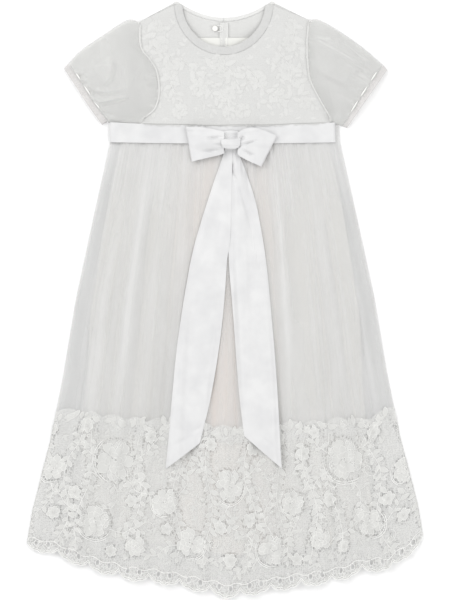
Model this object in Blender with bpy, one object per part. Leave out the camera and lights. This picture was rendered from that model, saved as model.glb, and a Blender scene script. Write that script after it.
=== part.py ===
"""A baby's ceremony dress, laid flat on its back with the front upwards.

The sizes are in millimetres and MM turns them into metres. +X is the right of the picture, +Y points to the
neck and +Z is up, away from the surface that the dress lies on. Every panel is a wall of cloth: a flat pattern
whose points a place function sets on the floor plan, with the height of its underside and of its top.
"""

import math

import bmesh
import bpy
from mathutils import Vector
from mathutils.geometry import delaunay_2d_cdt

MM = 0.001

# Walls of cloth and the gap between neighbours
SEAM_GAP = 0.3
TULLE = 1.2
LACE = 1.2
LINING = 1.0
SATIN = 1.0
BODICE = 1.5

# The waist: a satin sash whose band sags a little at the middle
SASH_TOP_Y = 212.5
SASH_TOP_SAG = 4.0
SASH_BOTTOM_Y = 188.5
SASH_BOTTOM_SAG = 1.5
SASH_RIGHT_X = 131.0
SASH_Z = 7.3
TUCK = 3.0
WAIST_HALF_WIDTH = 136.4

# The skirt: across runs from -1 at its left side to 1, and down from 0 at the waist to 1 at the hem
HEM_SIDE_Y = -290.0
HEM = (  # across, height of the hem on the floor plan without its scallops
    (-1.0, -292.0),
    (-0.87, -298.0),
    (-0.72, -313.0),
    (-0.5, -328.0),
    (-0.3, -333.0),
    (-0.13, -342.0),
    (0.03, -350.0),
    (0.15, -345.0),
    (0.34, -338.0),
    (0.55, -331.0),
    (0.7, -319.0),
    (0.83, -317.0),
    (0.93, -299.0),
    (1.0, -283.0),
)
SKIRT_HALF_WIDTHS = (  # height of the side on the floor plan, half width there
    (-290.0, 237.5),
    (-250.0, 230.5),
    (-170.0, 210.0),
    (-90.0, 194.0),
    (0.0, 179.0),
    (100.0, 157.5),
    (189.0, 137.4),
    (209.5, WAIST_HALF_WIDTH),
)
PATTERN_HALF = 200.0
PATTERN_LENGTH = 540.0

# Folds of the tulle skirt: trough at across, height of the crest to its right at the hem
FOLDS = (
    (-1.0, 2.5),
    (-0.915, 3.5),
    (-0.83, 6.0),
    (-0.70, 8.0),
    (-0.548, 7.5),
    (-0.377, 8.5),
    (-0.206, 6.0),
    (-0.065, 5.0),
    (0.065, 6.0),
    (0.196, 7.0),
    (0.332, 9.0),
    (0.538, 6.5),
    (0.659, 7.0),
    (0.785, 5.5),
    (0.89, 3.5),
    (1.0, 0.0),
)
FOLD_GROWTH = (  # down, share of the fold's height, height of the small gathers of the waist
    (0.0, 0.0, 1.5),
    (0.05, 0.05, 1.4),
    (0.1, 0.12, 1.2),
    (0.17, 0.26, 0.7),
    (0.29, 0.45, 0.0),
    (0.44, 0.62, 0.0),
    (0.59, 0.78, 0.0),
    (0.85, 0.95, 0.0),
    (1.0, 1.0, 0.0),
)
FOLD_POINTS = 4
GATHERS = 30
SIDE_ROUND = ((0.0, 0.0, 0.0), (3.0, 0.6, 0.1), (8.0, 1.0, 0.35), (18.0, 1.0, 1.0))  # inset, rise, fold

# The lining of the skirt, which is narrower and shorter than the tulle
LINING_INSET = ((0.0, 12.0), (0.2, 14.0), (0.45, 20.0), (0.7, 34.0), (1.0, 58.0))  # down, inset from the side
LINING_HEM = 0.953
LINING_HEM_SAG = 0.029

# The lace border, with a scalloped top edge and a hem of scallops that each have three petals
LACE_TOP = 0.687
LACE_TOP_SAG = 0.035
LACE_LAP = 0.03
LAP_END = (0.004, 0.035)  # beyond the tulle's edge: where the lace leaves it, and where it lies level
TOP_SCALLOPS = 15
TOP_SCALLOP_DEPTH = 5.0
SCALLOPS = 13
SCALLOP_DEPTH = 8.0
PETALS = 3
PETAL_DEPTH = 1.6
EYELET = (4.6, 6.6)  # width and length of the gaps above the hem's petals

# The bodice, its neck and its armholes
NECK_CENTRE = (-1.5, 357.0)
NECK_RADII = (59.5, 63.5)
NECK_BAND = 9.5
BACK_NECK_DEPTH = 20.0
BACK_BAND = 4.0
SHOULDER_TIPS = ((-58.0, 358.0), (56.4, 358.0))
LEFT_ARMHOLE = (
    (-102.9, 333.0),
    (-101.7, 303.0),
    (-91.0, 288.0),
    (-82.5, 273.0),
    (-80.0, 249.0),
    (-86.0, 228.0),
    (-105.3, 213.8),
)
RIGHT_ARMHOLE = (
    (101.1, 335.0),
    (99.3, 303.0),
    (101.7, 269.0),
    (108.7, 251.0),
    (119.7, 231.0),
    (129.3, 215.2),
)
CHEST_SWELL = 6.0
EDGE_ROUND = 10.0
SLIT_X = -1.8
KEYHOLE = (326.0, 334.0, 1.1)  # low end, high end, half width

# The lining of the bodice's back: its straight top edge, and its sides from the top and from the foot
LINING_TOP_Y = 314.0
LINING_LEFT = ((-60.0, LINING_TOP_Y), (-68.0, 290.0), (-66.0, 262.0), (-66.0, 240.0), (-78.0, 217.0))
LINING_RIGHT = ((110.0, 217.0), (96.0, 240.0), (86.0, 275.0), (70.0, 300.0), (58.0, LINING_TOP_Y))
LINING_SLIT_Y = 232.0
LINING_SLIT_HALF = 0.3

# The sleeves: outer corners of the puff and of its cuff band
LEFT_SLEEVE = {
    "shoulder": ((-103.2, 333.3), (-117.6, 335.0), (-147.6, 316.0), (-172.8, 298.6), (-188.0, 283.0)),
    "underarm": ((-105.6, 214.1), (-123.0, 213.9), (-141.0, 213.6)),
    "cuff": ((-188.0, 283.0), (-172.0, 258.5), (-157.0, 235.5), (-141.0, 213.6)),
    "band": ((-193.2, 276.8), (-178.5, 254.5), (-163.5, 231.5), (-147.5, 209.5)),
}
RIGHT_SLEEVE = {
    "shoulder": ((101.4, 335.3), (112.0, 335.8), (135.0, 323.4), (165.0, 302.4), (189.5, 281.5)),
    "underarm": ((129.6, 215.5), (135.5, 212.9), (141.5, 209.8)),
    "cuff": ((189.5, 281.5), (173.5, 257.5), (157.5, 233.5), (141.5, 209.8)),
    "band": ((194.7, 275.5), (179.0, 252.5), (162.5, 229.0), (146.5, 205.8)),
}
SLEEVE_EDGE = 3.3
SLEEVE_PUFF = ((0.0, 0.4), (0.12, 6.0), (0.35, 13.0), (0.65, 15.0), (0.9, 11.0), (1.0, 7.0))  # along, height
SLEEVE_STATIONS = (0.0, 0.07, 0.2, 0.36, 0.54, 0.72, 0.88, 1.0)
SLEEVE_UPPER = 18
SLEEVE_LOWER = 9
SLEEVE_WAVES = 6
SLEEVE_WAVE_HEIGHT = 2.2
CUFF_RISE = 6.0

# The bow and its tails. Each loop has its lower and upper edge from the knot outwards
BOW_LIFT = 1.0
BOW_GAP = 3.2
KNOT_LIFT = 1.7
KNOT = (7.0, 191.5)
KNOT_SIZE = (23.0, 23.0)
LEFT_LOOP = {
    "low": ((-1.0, 175.0), (-8.4, 172.6), (-21.0, 169.8), (-39.6, 165.3)),
    "high": ((-1.0, 201.0), (-14.0, 203.8), (-31.0, 206.6), (-46.8, 206.9)),
}
RIGHT_LOOP = {
    "low": ((15.0, 174.0), (19.0, 170.8), (29.0, 165.6), (43.2, 159.2)),
    "high": ((15.0, 200.0), (25.0, 204.6), (41.0, 204.4), (61.9, 196.2)),
}
LOOP_PUFF = 2.4
LOOP_CREASE = 0.9
LEFT_TAIL = (  # height on the floor plan, left edge, right edge
    (184.0, 1.0, 6.0),
    (166.0, -4.6, 6.2),
    (119.4, -20.4, 4.9),
    (53.4, -39.6, 2.8),
    (-30.6, -54.0, -3.6),
    (-108.6, -63.6, -15.6),
    (-186.0, -72.0, -27.8),
)
RIGHT_TAIL = (
    (184.0, 7.0, 12.6),
    (166.0, 7.6, 20.0),
    (119.4, 6.1, 36.0),
    (53.4, 4.2, 48.0),
    (-30.6, 10.8, 56.4),
    (-108.6, 16.8, 63.6),
    (-184.0, 23.0, 69.8),
)
TAIL_SLANT = 28.0
TAIL_STATIONS = 17
TAIL_RIPPLE = 1.1

# The button at the top of the back opening
BUTTON_RADIUS = 3.4
BUTTON_THICK = 2.0
BUTTON_AT = (-12.0, 325.0)

COLOURS = {  # red, green, blue, roughness
    "tulle": (0.80, 0.79, 0.76, 0.8),
    "lace": (0.88, 0.87, 0.83, 0.75),
    "satin": (0.92, 0.92, 0.91, 0.35),
    "lining": (0.90, 0.87, 0.80, 0.6),
    "pearl": (0.93, 0.92, 0.88, 0.2),
}


def blend(value, low, high):
    """0 below low and 1 above high, with a smooth step between them."""
    share = min(max((value - low) / (high - low), 0.0), 1.0)
    return share * share * (3 - 2 * share)


def hermite(before, start, end, after, share):
    """A point between start and end on a smooth curve through four."""
    slope_in = (end - before) / 2
    slope_out = (after - start) / 2
    s2, s3 = share * share, share**3
    return (
        start * (2 * s3 - 3 * s2 + 1)
        + slope_in * (s3 - 2 * s2 + share)
        + end * (3 * s2 - 2 * s3)
        + slope_out * (s3 - s2)
    )


def read(table, at, column=1):
    """A column of a table at a value of its first column, which rises or falls steadily."""
    rows = sorted(table)
    at = min(max(at, rows[0][0]), rows[-1][0])
    for first, second in zip(rows, rows[1:]):
        if at <= second[0]:
            share = (at - first[0]) / (second[0] - first[0])
            return first[column] + (second[column] - first[column]) * share
    return rows[-1][column]


def along(points, share):
    """The point at a share of the way along a smooth curve through the points."""
    points = [Vector(p) for p in points]
    place = min(max(share, 0.0), 1.0) * (len(points) - 1)
    i = min(int(place), len(points) - 2)
    before = points[i - 1] if i else points[0] * 2 - points[1]
    after = points[i + 2] if i + 2 < len(points) else points[-1] * 2 - points[-2]
    return hermite(before, points[i], points[i + 1], after, place - i)


def steps(start, end, count):
    """Evenly spaced values from start to end, both included."""
    return [start + (end - start) * i / count for i in range(count + 1)]


def segment_distance(p, a, b):
    """How far point p is from the segment from a to b."""
    run = b - a
    share = min(max((p - a).dot(run) / max(run.length_squared, 1e-9), 0.0), 1.0)
    return (p - a - run * share).length


def loop_distance(p, loop, closed=True):
    """How far point p is from a loop of points, or from an open line."""
    ends = loop[1:] + loop[:1] if closed else loop[1:]
    return min(segment_distance(p, a, b) for a, b in zip(loop, ends))


def is_inside(p, loop):
    """Whether point p is inside a closed loop."""
    found = False
    for a, b in zip(loop, loop[1:] + loop[:1]):
        if (a.y > p.y) != (b.y > p.y) and p.x < a.x + (p.y - a.y) * (b.x - a.x) / (b.y - a.y):
            found = not found
    return found


def material(kind):
    """The named Principled material, made once."""
    if kind in bpy.data.materials:
        return bpy.data.materials[kind]
    made = bpy.data.materials.new(kind)
    made.use_nodes = True
    shader = made.node_tree.nodes["Principled BSDF"]
    *colour, roughness = COLOURS[kind]
    shader.inputs["Base Color"].default_value = (*colour, 1.0)
    shader.inputs["Roughness"].default_value = roughness
    made.diffuse_color = (*colour, 1.0)
    return made


def solid(name, points, faces, kind):
    """A closed mesh object from points in millimetres, with its faces turned outwards."""
    mesh = bpy.data.meshes.new(name)
    mesh.from_pydata([Vector(p) * MM for p in points], [], faces)
    made = bmesh.new()
    made.from_mesh(mesh)
    bmesh.ops.recalc_face_normals(made, faces=made.faces)
    made.to_mesh(mesh)
    made.free()
    mesh.shade_smooth()
    mesh.set_sharp_from_angle(angle=math.radians(65))
    mesh.materials.append(material(kind))
    placed = bpy.data.objects.new(name, mesh)
    bpy.context.scene.collection.objects.link(placed)
    return placed


def cloth(name, outline, inside, place, kind, holes=(), squash=1.0, clear=1.5):
    """A wall of cloth cut to an outline with holes. place sets a pattern point's x, y, underside and top.

    The pattern is divided into triangles at a length squashed by a factor, so that rows far apart join
    column to column, and inside points closer than clear to a loop are left out.
    """
    shrink = Vector((1, squash))
    outline = [Vector(p) * shrink for p in outline]
    holes = [[Vector(p) * shrink for p in hole] for hole in holes]
    loops = [outline, *holes]
    kept = [
        p
        for p in (Vector(p) * shrink for p in inside)
        if is_inside(p, outline) and all(loop_distance(p, loop) > clear for loop in loops)
    ]
    kept = [p for p in kept if not any(is_inside(p, hole) for hole in holes)]
    points, edges = [], []
    for loop in loops:
        first = len(points)
        points += loop
        edges += [(first + i, first + (i + 1) % len(loop)) for i in range(len(loop))]
    points += kept
    flat, _, faces, *_ = delaunay_2d_cdt(points, edges, [], 1, 1e-4)
    used = []
    for face in faces:
        middle = sum((flat[i] for i in face), Vector((0, 0))) / len(face)
        if is_inside(middle, outline) and not any(is_inside(middle, hole) for hole in holes):
            used.append(tuple(face))
    count = {}
    for face in used:
        for a, b in zip(face, face[1:] + face[:1]):
            count[frozenset((a, b))] = count.get(frozenset((a, b)), 0) + 1
    walls = []
    size = len(flat)
    for face in used:
        for a, b in zip(face, face[1:] + face[:1]):
            if count[frozenset((a, b))] == 1:
                walls.append((a, b, b + size, a + size))
    placed = [place((p.x, p.y / squash)) for p in flat]
    body = [(x, y, under) for x, y, under, _ in placed] + [(x, y, over) for x, y, _, over in placed]
    faces = [tuple(reversed(face)) for face in used]
    faces += [tuple(i + size for i in face) for face in used]
    spare = set(range(size)) - {i for face in used for i in face}
    keep = [i for i in range(2 * size) if i % size not in spare]
    index = {old: new for new, old in enumerate(keep)}
    faces = [tuple(index[i] for i in face) for face in faces + walls]
    return solid(name, [body[i] for i in keep], faces, kind)


def strip(name, rows, thick, kind):
    """A wall on a grid of points, thickened to the side that its rows and columns turn to."""
    rows = [[Vector(p) for p in row] for row in rows]
    last, wide = len(rows) - 1, len(rows[0])
    outer = []
    for i, row in enumerate(rows):
        for j, point in enumerate(row):
            ahead = rows[min(i + 1, last)][j] - rows[max(i - 1, 0)][j]
            beside = row[min(j + 1, wide - 1)] - row[max(j - 1, 0)]
            outer.append(point + ahead.cross(beside).normalized() * thick)
    inner = [point for row in rows for point in row]
    size = len(inner)
    faces = []
    for i in range(last):
        for j in range(wide - 1):
            a = i * wide + j
            b, c, d = a + 1, a + wide + 1, a + wide
            faces += [(a, b, c, d), (d + size, c + size, b + size, a + size)]
    rim = list(range(wide))
    rim += [i * wide + wide - 1 for i in range(1, last + 1)]
    rim += [last * wide + j for j in range(wide - 2, -1, -1)]
    rim += [i * wide for i in range(last - 1, 0, -1)]
    for a, b in zip(rim, rim[1:] + rim[:1]):
        faces.append((a, a + size, b + size, b))
    return solid(name, inner + outer, faces, kind)


def tube(name, outer, inner, kind):
    """A wall between an outer and an inner skin, each a list of rings with the same number of points."""
    wide, last = len(outer[0]), len(outer) - 1
    points = [p for ring in outer for p in ring] + [p for ring in inner for p in ring]
    size = wide * len(outer)
    faces = []
    for i in range(last):
        for j in range(wide):
            a, b = i * wide + j, i * wide + (j + 1) % wide
            faces.append((a, b, b + wide, a + wide))
            faces.append((a + size + wide, b + size + wide, b + size, a + size))
    for start in (0, last * wide):
        for j in range(wide):
            a, b = start + j, start + (j + 1) % wide
            faces.append((a, a + size, b + size, b))
    return solid(name, points, faces, kind)


def sash_top(across):
    return SASH_TOP_Y - SASH_TOP_SAG * (1 - across**2)


def sash_bottom(across):
    return SASH_BOTTOM_Y - SASH_BOTTOM_SAG * (1 - across**2)


def skirt_plan(across, down):
    """The floor plan point of the skirt at a share across and down."""
    waist = sash_top(across) - TUCK
    hem = read(HEM, across)
    side_y = SASH_TOP_Y - TUCK + (HEM_SIDE_Y - SASH_TOP_Y + TUCK) * down
    return across * read(SKIRT_HALF_WIDTHS, side_y), waist + (hem - waist) * down


def fold_columns():
    """The places across the hem where the folds are drawn, with their heights."""
    found = []
    for (trough, height), (end, _) in zip(FOLDS, FOLDS[1:]):
        for i in range(FOLD_POINTS):
            share = i / FOLD_POINTS
            found.append((trough + (end - trough) * share, height * (0.5 - 0.5 * math.cos(2 * math.pi * share))))
    return (*found, (1.0, 0.0))


COLUMNS = fold_columns()
GATHER_COLUMNS = tuple((a, (i % 4) % 2 * 0.5 + (i % 4 == 2)) for i, a in enumerate(steps(-1, 1, GATHERS * 4)))


def side_inset(across, down):
    """How far a point of the skirt is from its nearer side."""
    x, _ = skirt_plan(1.0, down)
    return x * (1 - abs(across))


def tulle_under(across, down):
    """The underside of the front tulle, with its folds and gathers."""
    inset = side_inset(across, down)
    low = TULLE + SEAM_GAP
    over_linings = 2 * (LINING + SEAM_GAP) * read(SIDE_ROUND, inset, 1)
    waves = read(COLUMNS, across) * read(FOLD_GROWTH, down, 1)
    waves += read(GATHER_COLUMNS, across) * read(FOLD_GROWTH, down, 2)
    return low + over_linings + waves * read(SIDE_ROUND, inset, 2)


def skirt_crest(across, down):
    """The height that the crests of the front tulle reach near a place, which ribbons lie on."""
    near = [tulle_under(min(max(across + step, -1), 1), down) for step in steps(-0.1, 0.1, 20)]
    return max(near) + TULLE


def pattern(across, down):
    return across * PATTERN_HALF, down * PATTERN_LENGTH


def shares(point):
    return point[0] / PATTERN_HALF, point[1] / PATTERN_LENGTH


def lace_edge(across):
    """How far down the lace border begins, with its scallops."""
    wave = abs(math.sin(math.pi * TOP_SCALLOPS * (across + 1) / 2))
    return LACE_TOP - LACE_TOP_SAG * (1 - across**2) - TOP_SCALLOP_DEPTH * wave / PATTERN_LENGTH


def hem_edge(across):
    """How far down the lace hem reaches, with its scallops and their petals."""
    place = SCALLOPS * (across + 1) / 2
    scallop = SCALLOP_DEPTH * abs(math.sin(math.pi * place)) ** 0.7
    petal = PETAL_DEPTH * abs(math.sin(math.pi * place * PETALS))
    return 1 + (scallop + petal * blend(scallop, 0, 3)) / PATTERN_LENGTH


def tulle_edge(across):
    """How far down the front tulle reaches, under the top of the lace."""
    return LACE_TOP - LACE_TOP_SAG * (1 - across**2) + LACE_LAP


def back_edge(across):
    """How far down the back tulle reaches, where the back lace takes over."""
    return LACE_TOP - LACE_TOP_SAG * (1 - across**2)


def side_downs(top, bottom):
    """Places down the skirt's side between two edges, the same for every layer."""
    rows = [row[0] for row in FOLD_GROWTH] + [0.66, 0.72, 0.78, 0.925]
    return [down for down in sorted(rows) if top + 0.01 < down < bottom - 0.01]


def band(top, bottom, upper, lower):
    """The outline of a stretch of the skirt between two edges, in pattern points."""
    downs = side_downs(top(1), bottom(1))
    found = [pattern(a, top(a)) for a in upper] + [pattern(1, d) for d in downs]
    found += [pattern(a, bottom(a)) for a in reversed(lower)]
    return found + [pattern(-1, d) for d in reversed(downs)]


def side_columns(downs):
    """Pattern points close to the skirt's sides, where the front rounds down to the back."""
    found = []
    for down in downs:
        half, _ = skirt_plan(1.0, down)
        for inset, *_ in SIDE_ROUND[1:]:
            found += [pattern(side * (1 - inset / half), down) for side in (-1, 1)]
    return found


def clear_of_sides(acrosses, down):
    """Pattern points of a row, without those in the part that rounds down at the sides."""
    reach = SIDE_ROUND[-1][0] + 2
    return [pattern(a, down) for a in acrosses if side_inset(a, down) > reach]


def edge_across(columns, down):
    """The places across an edge: the columns away from the sides, and the rounded part's own."""
    half, _ = skirt_plan(1.0, down)
    ends = [1 - inset / half for inset, *_ in SIDE_ROUND]
    middle = [a for a in columns if side_inset(a, down) > SIDE_ROUND[-1][0] + 2]
    return [-a for a in ends] + middle + ends[::-1]


def skirt_front():
    """The gathered tulle of the front, down to just under the top of the lace."""
    fine = [a for a, _ in GATHER_COLUMNS]
    coarse = [a for a, _ in COLUMNS]
    downs = [row[0] for row in FOLD_GROWTH if 0 < row[0] < 0.62]
    inside = side_columns([*downs, 0.66])
    for down in downs:
        inside += clear_of_sides(fine if down < 0.15 else coarse, down)
    outline = band(lambda a: 0.0, tulle_edge, edge_across(fine, 0.0), edge_across(coarse, 0.7))

    def place(p):
        across, down = shares(p)
        under = tulle_under(across, down)
        return *skirt_plan(across, down), under, under + TULLE

    return cloth("skirt_front", outline, inside, place, "tulle", squash=0.1, clear=0.6)


def flat_panel(name, outline, under, thick, kind):
    """A flat panel of the skirt at a height."""

    def place(p):
        return *skirt_plan(*shares(p)), under, under + thick

    return cloth(name, outline, [], place, kind, squash=0.3)


def skirt_back():
    """The tulle of the back, from the lower edge of the sash to the lace."""
    xs = steps(-1, 1, 16)

    def top(across):
        return down_at(sash_bottom(across) - SEAM_GAP, across)

    def bottom(across):
        return back_edge(across) - SEAM_GAP / PATTERN_LENGTH

    return flat_panel("skirt_back", band(top, bottom, xs, xs), 0.0, TULLE, "tulle")


def lining_outline():
    """The outline of a lining panel, inset from the tulle's sides."""
    rows = [0.006, *side_downs(0.006, LINING_HEM), LINING_HEM]

    def side(down):
        half, _ = skirt_plan(1.0, down)
        return 1 - read(LINING_INSET, down) / half

    def hem(share):
        across = share * side(LINING_HEM)
        return pattern(across, LINING_HEM - LINING_HEM_SAG * (1 - across**2))

    top = [pattern(side(0.006) * a, 0.006) for a in steps(-1, 1, 16)]
    right = [pattern(side(d), d) for d in rows[1:-1]]
    bottom = [hem(a) for a in reversed(steps(-1, 1, 20))]
    left = [pattern(-side(d), d) for d in reversed(rows[1:-1])]
    return top + right + bottom + left


def skirt_linings():
    """The two panels of the underskirt, which lie flat between the tulle panels."""
    low = TULLE + SEAM_GAP
    flat_panel("skirt_lining_back", lining_outline(), low, LINING, "lining")
    flat_panel("skirt_lining_front", lining_outline(), low + LINING + SEAM_GAP, LINING, "lining")


def oval(centre, width, length, lean, points):
    """A closed oval that leans from upright by an angle."""
    loop = []
    for i in range(points):
        turn = 2 * math.pi * i / points
        a, b = width / 2 * math.cos(turn), length / 2 * math.sin(turn)
        x = a * math.cos(lean) - b * math.sin(lean)
        y = a * math.sin(lean) + b * math.cos(lean)
        loop.append((centre[0] + x, centre[1] + y))
    return loop


def lace_gaps():
    """The gaps of the lace that are wide enough to cut: a pair in every scallop of the hem."""
    gaps = []
    for i in range(SCALLOPS):
        for side in (-0.19, 0.19):
            across = 2 * (i + 0.5 + side) / SCALLOPS - 1
            centre = pattern(across, hem_edge(across) - 10.5 / PATTERN_LENGTH)
            gaps.append(oval(centre, *EYELET, side, 6))
    return gaps


def lace_front():
    """The lace border of the front, which lies over the end of the tulle and has gaps cut in its scallops."""
    columns = [a for a, _ in COLUMNS]
    upper = sorted({*edge_across(columns, 0.7), *steps(-0.96, 0.96, TOP_SCALLOPS * 3)})
    upper = [a for a, after in zip(upper, upper[1:] + [9.0]) if after - a > 0.004]
    outline = band(lace_edge, hem_edge, upper, steps(-1, 1, SCALLOPS * PETALS * 3))
    rows = (0.78, 0.825, 0.87, 0.925, 0.965)
    inside = side_columns((0.72, 0.75, *rows))
    for down in rows:
        inside += clear_of_sides(columns, down)
    for a in columns:
        if side_inset(a, 0.72) > SIDE_ROUND[-1][0] + 2:
            inside += [pattern(a, tulle_edge(a) + beyond) for beyond in LAP_END]

    def place(p):
        across, down = shares(p)
        lap = 1 - blend(down - tulle_edge(across), *LAP_END)
        under = tulle_under(across, down) + (TULLE + 2 * SEAM_GAP) * lap
        return *skirt_plan(across, down), under, under + LACE

    return cloth("lace_border_front", outline, inside, place, "lace", lace_gaps(), 0.3, 0.8)


def lace_back():
    """The lace border of the back, which lies flat."""
    outline = band(back_edge, hem_edge, steps(-1, 1, 16), steps(-1, 1, SCALLOPS * PETALS * 2))
    return flat_panel("lace_border_back", outline, 0.0, LACE, "lace")


def neck_point(turn, inset=0.0):
    """A point of the front neckline, inset towards the middle. turn is 0 at the left shoulder and 1 at the right."""
    angle = math.pi * (1 + turn)
    x = NECK_CENTRE[0] + (NECK_RADII[0] - inset) * math.cos(angle)
    return x, NECK_CENTRE[1] + (NECK_RADII[1] - inset) * math.sin(angle)


NECK_TURNS = tuple(steps(0.02, 0.98, 20))


def waist_seam(x):
    """Where the front of the bodice meets the front of the skirt, under the sash."""
    return sash_top(x / WAIST_HALF_WIDTH) - TUCK


def back_neck_y(x):
    left, right = SHOULDER_TIPS[0][0], SHOULDER_TIPS[1][0]
    middle, half = (left + right) / 2, (right - left) / 2
    return SHOULDER_TIPS[0][1] - BACK_NECK_DEPTH * (1 - min(abs((x - middle) / half), 1) ** 2)


def armhole(points, count=14):
    return [tuple(along(points, share)) for share in steps(0, 1, count)]


def closed_edges():
    """The lines where the front of the bodice comes down to its back: shoulders and armholes."""
    left = [SHOULDER_TIPS[0]] + armhole(LEFT_ARMHOLE)
    right = [SHOULDER_TIPS[1]] + armhole(RIGHT_ARMHOLE)
    return [[Vector(p) for p in line] for line in (left, right)]


CLOSED_EDGES = closed_edges()


def edge_distance(x, y):
    return min(loop_distance(Vector((x, y)), line, closed=False) for line in CLOSED_EDGES)


def chest_under(x, y):
    """The underside of the front bodice, which rises from its closed edges and meets the skirt at the waist."""
    reach = edge_distance(x, y)
    low = BODICE + SEAM_GAP
    seat = low + (LINING + SEAM_GAP) * blend(reach, 0, EDGE_ROUND)
    chest = seat + CHEST_SWELL * blend(reach, 3, 60)
    top = sash_top(x / WAIST_HALF_WIDTH)
    waist = low + 2 * (LINING + SEAM_GAP) * blend(reach, 0, EDGE_ROUND)
    return waist + (chest - waist) * blend(y, top - 2, top + 24)


def bodice_front():
    """The front of the bodice, cut to the outer edge of the neck band and sewn to the skirt under the sash."""
    left = armhole(LEFT_ARMHOLE, SLEEVE_UPPER)
    right = armhole(RIGHT_ARMHOLE, SLEEVE_UPPER)
    neck = [neck_point(turn, -SEAM_GAP) for turn in NECK_TURNS]
    hem_xs = steps(left[-1][0], right[-1][0], 20)
    hem = [(x, waist_seam(x) + SEAM_GAP) for x in reversed(hem_xs)]
    outline = neck + right + hem + left[::-1]
    inside = [(x, y) for y in (212, 218, 225, 233) for x in steps(-115, 126, 18)]
    inside += [(x, y) for y in (246, 262, 280, 298, 316, 336) for x in steps(-105, 105, 14)]
    for line in (left, right):
        for inset in (5.0, 11.0):
            inside += [(x - math.copysign(inset, x), y) for x, y in line[::2]]

    def place(p):
        under = chest_under(*p)
        return *p, under, under + BODICE

    return cloth("bodice_front", outline, inside, place, "lace", clear=3.0)


def neck_band_front():
    """The band of doubled tulle round the front of the neck."""
    outline = [neck_point(turn) for turn in NECK_TURNS]
    outline += [neck_point(turn, NECK_BAND) for turn in reversed(NECK_TURNS)]

    def place(p):
        under = chest_under(*p)
        return *p, under, under + BODICE

    return cloth("neck_band_front", outline, [], place, "tulle")


def slit_edge(y, side):
    """One edge of the back opening, with the keyhole under its top."""
    low, high, half = KEYHOLE
    bulge = half * math.sin(math.pi * (y - low) / (high - low)) if low < y < high else 0.0
    return SLIT_X + side * (SEAM_GAP / 2 + bulge)


def back_half(name, side):
    """One half of the bodice's back, and the narrow band along its neck."""
    tip = SHOULDER_TIPS[0 if side < 0 else 1]
    arm = armhole(LEFT_ARMHOLE if side < 0 else RIGHT_ARMHOLE, SLEEVE_LOWER)
    xs = steps(SLIT_X + side * SEAM_GAP / 2, tip[0], 10)
    neck = [(x, back_neck_y(x) - BACK_BAND - SEAM_GAP) for x in xs[:-1]]
    neck.append((tip[0] + side * 4.5, tip[1] - BACK_BAND + 1.1))
    hem = [(x, sash_top(x / WAIST_HALF_WIDTH) + SEAM_GAP) for x in steps(arm[-1][0], xs[0], 8)]
    ys = steps(hem[-1][1], neck[0][1], 8)
    slit = [(slit_edge(y, side), y) for y in (*ys[1:-2], 326.5, 328.5, 330.5, 332.0)]
    outline = neck + arm[:-1] + hem + slit
    cloth(name, outline, [], lambda p: (*p, 0.0, BODICE), "tulle")
    edge = [(x, back_neck_y(x)) for x in xs]
    inner = [(x, back_neck_y(x) - BACK_BAND) for x in reversed(xs[:-1])]
    inner = [(tip[0] + side * 4.5, tip[1] - BACK_BAND + 1.5)] + inner
    cloth(name.replace("bodice", "neck_band"), edge + inner, [], lambda p: (*p, 0.0, BODICE), "tulle")


def bodice_lining():
    """The lining of the back, whose straight top edge shows inside the neck."""
    slit = [(SLIT_X + side * LINING_SLIT_HALF, LINING_TOP_Y) for side in (1, -1)]
    slit.insert(1, (SLIT_X, LINING_SLIT_Y))
    outline = [*LINING_LEFT, *LINING_RIGHT, *slit]
    low = BODICE + SEAM_GAP
    return cloth("bodice_lining_back", outline, [], lambda p: (*p, low, low + LINING), "lining")


def sleeve_plan(curves, armhole_points, share, around):
    """The floor plan point of a sleeve between its four edges."""
    start, end = along(armhole_points, around), along(curves["cuff"], around)
    top, bottom = along(curves["shoulder"], share), along(curves["underarm"], share)
    corners = (
        along(curves["shoulder"], 0) * (1 - share) * (1 - around)
        + along(curves["underarm"], 0) * (1 - share) * around
        + along(curves["shoulder"], 1) * share * (1 - around)
        + along(curves["underarm"], 1) * share * around
    )
    return start * (1 - share) + end * share + top * (1 - around) + bottom * around - corners


def ring(plan, top, wall):
    """The outer and inner points round a flattened tube. plan(around) is its floor plan, top(around) its height."""
    width = (plan(1.0) - plan(0.0)).length
    inset = wall / width
    arounds = [(a, True) for a in steps(0, 1, SLEEVE_UPPER)] + [(a, False) for a in steps(1, 0, SLEEVE_LOWER)]
    outer, inner = [], []
    for around, is_top in arounds:
        spot = plan(around)
        outer.append((spot.x, spot.y, top(around) if is_top else 0.0))
        inward = inset + (1 - 2 * inset) * around
        spot = plan(inward)
        inner.append((spot.x, spot.y, top(inward) - wall if is_top else wall))
    return outer, inner


def seam_line(points, side):
    """The armhole moved a seam's gap outwards. side is -1 at the left."""
    line = [Vector(p) for p in armhole(points, SLEEVE_UPPER)]
    moved = []
    for i, p in enumerate(line):
        run = (line[min(i + 1, len(line) - 1)] - line[max(i - 1, 0)]).normalized()
        moved.append(p + Vector((run.y, -run.x)) * -side * SEAM_GAP * 1.8)
    return moved


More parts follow.
